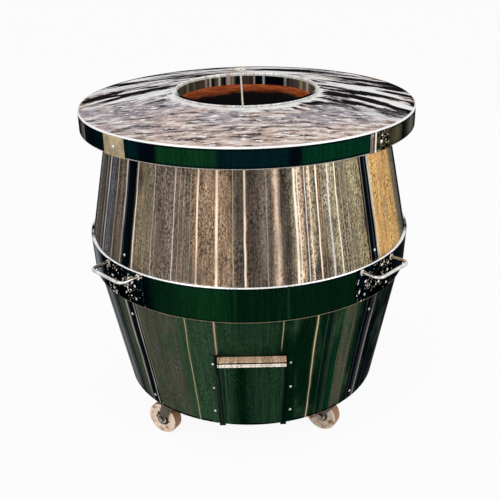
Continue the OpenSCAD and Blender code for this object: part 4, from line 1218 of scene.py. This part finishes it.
class TANDOOR_OT_casters(bpy.types.Operator):
    """Four swivel casters with ribbed nylon wheels"""

    bl_idname = "tandoor.casters"
    bl_label = "Casters"

    def execute(self, context):
        edge = sizes().cut_edge
        worn = finish_of(plated_steel, "grimy_zinc_plate", "bronze", 1.0, 0.4)
        for corner in CORNERS:
            worked_copy("caster_top_" + corner, zinc(), edge)
            worked_copy("caster_fork_" + corner, worn, 1.5 * edge)
            worked_copy("caster_axle_" + corner, zinc(), 1.2 * edge)
            self.wheel(corner)
        return {"FINISHED"}

    @staticmethod
    def wheel(corner):
        """A wheel, laid out round Z and then turned onto its axle."""
        nylon = finish_of(moulded_nylon, "moulded_nylon")
        node = "caster_wheel_" + corner
        low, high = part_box(node)
        centre = (low + high) / 2
        axes = {joint["name"]: Vector(joint["axis"]) for joint in frame["joints"]}
        axis = axes["roll_" + corner].normalized()
        spots = [v.co - centre for v in NODES[node].data.vertices]
        hub = max(spot.dot(axis) for spot in spots)
        bore = min((spot - axis * spot.dot(axis)).length for spot in spots)
        tread = (high.z - low.z) / 2
        # the tyre is a little narrower than the hub, with a dish between them on both sides
        lip, dish, round_edge = 1 * MM, 4 * MM, 5 * MM
        half = hub - lip
        web = half - dish
        hub_top, hub_foot, dish_edge, tyre_edge = 14 * MM, 14.6 * MM, 33 * MM, 35 * MM
        shoulder, corner_at = tread - round_edge, half - round_edge
        outline = [(bore, -hub), (hub_top, -hub), (hub_foot, -web)]
        outline += [(dish_edge, -web), (tyre_edge, -half + lip)]
        outline += arc((shoulder, -corner_at), round_edge, -90, 0, 6)
        outline += arc((shoulder, corner_at), round_edge, 0, 90, 6)
        outline += [(tyre_edge, half - lip), (dish_edge, web)]
        outline += [(hub_foot, web), (hub_top, hub), (bore, hub)]
        wheel = turned(node + "_tyre", outline, nylon, WHEEL_SEGMENTS)
        # ribs stand in the dish of each side
        count, middle, long, deep, proud = 10, 24 * MM, 21 * MM, 2.4 * MM, 0.9 * MM
        places = []
        for k in range(count):
            turn = 2 * math.pi * k / count
            out = Vector((math.cos(turn), math.sin(turn), 0))
            places += [(out * middle + Vector((0, 0, s * (web + proud))), out) for s in (-1, 1)]
        ribs = point_cloud(node + "_ribs", places)
        grow(ribs, rib_tree(), Long=long, Thick=sizes().rib, Deep=deep, Material=nylon)
        bm = bmesh.new()
        bm.from_mesh(wheel.data)
        bm.from_mesh(ribs.data)
        away = bm.verts.layers.float.new("from_axle")
        for v in bm.verts:
            v[away] = math.hypot(v.co.x, v.co.y)
        bm.transform(Matrix.Translation(centre) @ axis.to_track_quat("Z", "Y").to_matrix().to_4x4())
        bm.to_mesh(wheel.data)
        bm.free()
        bpy.data.objects.remove(ribs)
        close_up(wheel.data)
        stand_for(wheel, node)


class TANDOOR_OT_skewer(bpy.types.Operator):
    """The skewer that lies over the mouth"""

    bl_idname = "tandoor.skewer"
    bl_label = "Skewer"

    def execute(self, context):
        dress("skewer", finish_of(bright_steel, "polished_skewer_steel", "glint", 0.2))
        return {"FINISHED"}


class TANDOOR_OT_stage(bpy.types.Operator):
    """Pale floor, soft studio light and the camera"""

    bl_idname = "tandoor.stage"
    bl_label = "Floor, light and camera"

    def execute(self, context):
        self.floor()
        self.world(context.scene)
        self.lamps()
        self.camera(context.scene)
        context.scene.view_settings.view_transform = "Standard"
        return {"FINISHED"}

    @staticmethod
    def clear_tree(holder):
        """The emptied tree of a material or a world: its add_node, and its rays."""
        holder.use_nodes = True
        holder.node_tree.nodes.clear()
        add = functools.partial(add_node, holder.node_tree)
        return add, add("LightPath").node.outputs

    def floor(self):
        bm = bmesh.new()
        bmesh.ops.create_grid(bm, x_segments=8, y_segments=8, size=30.0)
        material = bpy.data.materials.new("white_studio_floor")
        add, rays = self.clear_tree(material)
        # the camera and the steel see the floor almost white, and its shadow stays faint
        seen = add("Math.MAXIMUM", (rays["Is Camera Ray"], rays["Is Glossy Ray"]))
        share = add("Math.MULTIPLY", (seen, 0.93))
        paint = add("BsdfDiffuse", {"Color": tint("floor")})
        glow = add("Emission", {"Color": WHITE, "Strength": 1})
        add("OutputMaterial", {"Surface": add("MixShader", (share, paint, glow))})
        made("floor", bm, material)

    def world(self, scene):
        scene.world = bpy.data.worlds.new("studio")
        add, rays = self.clear_tree(scene.world)
        # what is seen or mirrored is white, and the light on the oven is softer
        mirror = (rays["Is Glossy Ray"], rays["Is Transmission Ray"])
        mirror = add("Math.MAXIMUM", mirror)
        seen = add("Math.MAXIMUM", (mirror, rays["Is Camera Ray"]))
        level = add("MapRange", (seen, 0, 1, 0.55, 1))
        sky = add("Background", {"Color": WHITE, "Strength": level})
        add("OutputWorld", {"Surface": sky})

    @staticmethod
    def lamps():
        # name, place, side in metres, power in watts; both face the middle of the oven
        plan = (("key", (-1.9, -2.3, 2.9), 1.6, 38), ("fill", (2.4, -1.6, 1.9), 1.8, 22))
        for name, place, side, power in plan:
            lamp = bpy.data.lights.new(name, "AREA")
            lamp.shape = "SQUARE"
            lamp.size = side
            lamp.energy = power
            way = (Vector((0, 0, 0.5)) - Vector(place)).to_track_quat("-Z", "Y")
            new_object(name, lamp).matrix_world = Matrix.Translation(place) @ way.to_matrix().to_4x4()

    @staticmethod
    def camera(scene):
        # solved from the ellipses of the plate, the skirt, the band and the foot
        focal_pixels, image_pixels = 780.5, 500
        place = (0.0013, -2.0, 1.3538)
        pitch, roll = math.radians(24.24), math.radians(1.163)
        lens = bpy.data.cameras.new("camera")
        lens.sensor_fit = "HORIZONTAL"
        lens.sensor_width = 36.0
        lens.lens = focal_pixels / image_pixels * lens.sensor_width
        lens.clip_end = 100.0
        ahead = Vector((0, math.cos(pitch), -math.sin(pitch)))
        up = Vector((0, math.sin(pitch), math.cos(pitch)))
        side = Vector((1, 0, 0))
        right = side * math.cos(roll) - up * math.sin(roll)
        top = side * math.sin(roll) + up * math.cos(roll)
        turn = Matrix((right, top, -ahead)).transposed().to_4x4()
        scene.camera = new_object("camera", lens)
        scene.camera.matrix_world = Matrix.Translation(place) @ turn


OPERATORS = (
    TANDOOR_OT_top,
    TANDOOR_OT_barrel,
    TANDOOR_OT_handles,
    TANDOOR_OT_door,
    TANDOOR_OT_fire,
    TANDOOR_OT_fasteners,
    TANDOOR_OT_base,
    TANDOOR_OT_casters,
    TANDOOR_OT_skewer,
    TANDOOR_OT_stage,
)


class TANDOOR_PT_build(bpy.types.Panel):
    """Lists the tandoor's building steps"""

    bl_idname = "TANDOOR_PT_build"
    bl_label = "Barrel tandoor"
    bl_space_type = "VIEW_3D"
    bl_region_type = "UI"
    bl_category = "Tandoor"

    def draw(self, context):
        for operator in OPERATORS:
            self.layout.operator(operator.bl_idname)


CLASSES = (TandoorSizes, TandoorColours, *OPERATORS, TANDOOR_PT_build)


def register():
    for cls in CLASSES:
        bpy.utils.register_class(cls)
    bpy.types.Scene.tandoor_sizes = bpy.props.PointerProperty(type=TandoorSizes)
    bpy.types.Scene.tandoor_colours = bpy.props.PointerProperty(type=TandoorColours)


def unregister():
    del bpy.types.Scene.tandoor_colours
    del bpy.types.Scene.tandoor_sizes
    for cls in reversed(CLASSES):
        bpy.utils.unregister_class(cls)


def main():
    register()
    for operator in OPERATORS:
        group, name = operator.bl_idname.split(".")
        getattr(getattr(bpy.ops, group), name)()


if __name__ == "__main__":
    main()
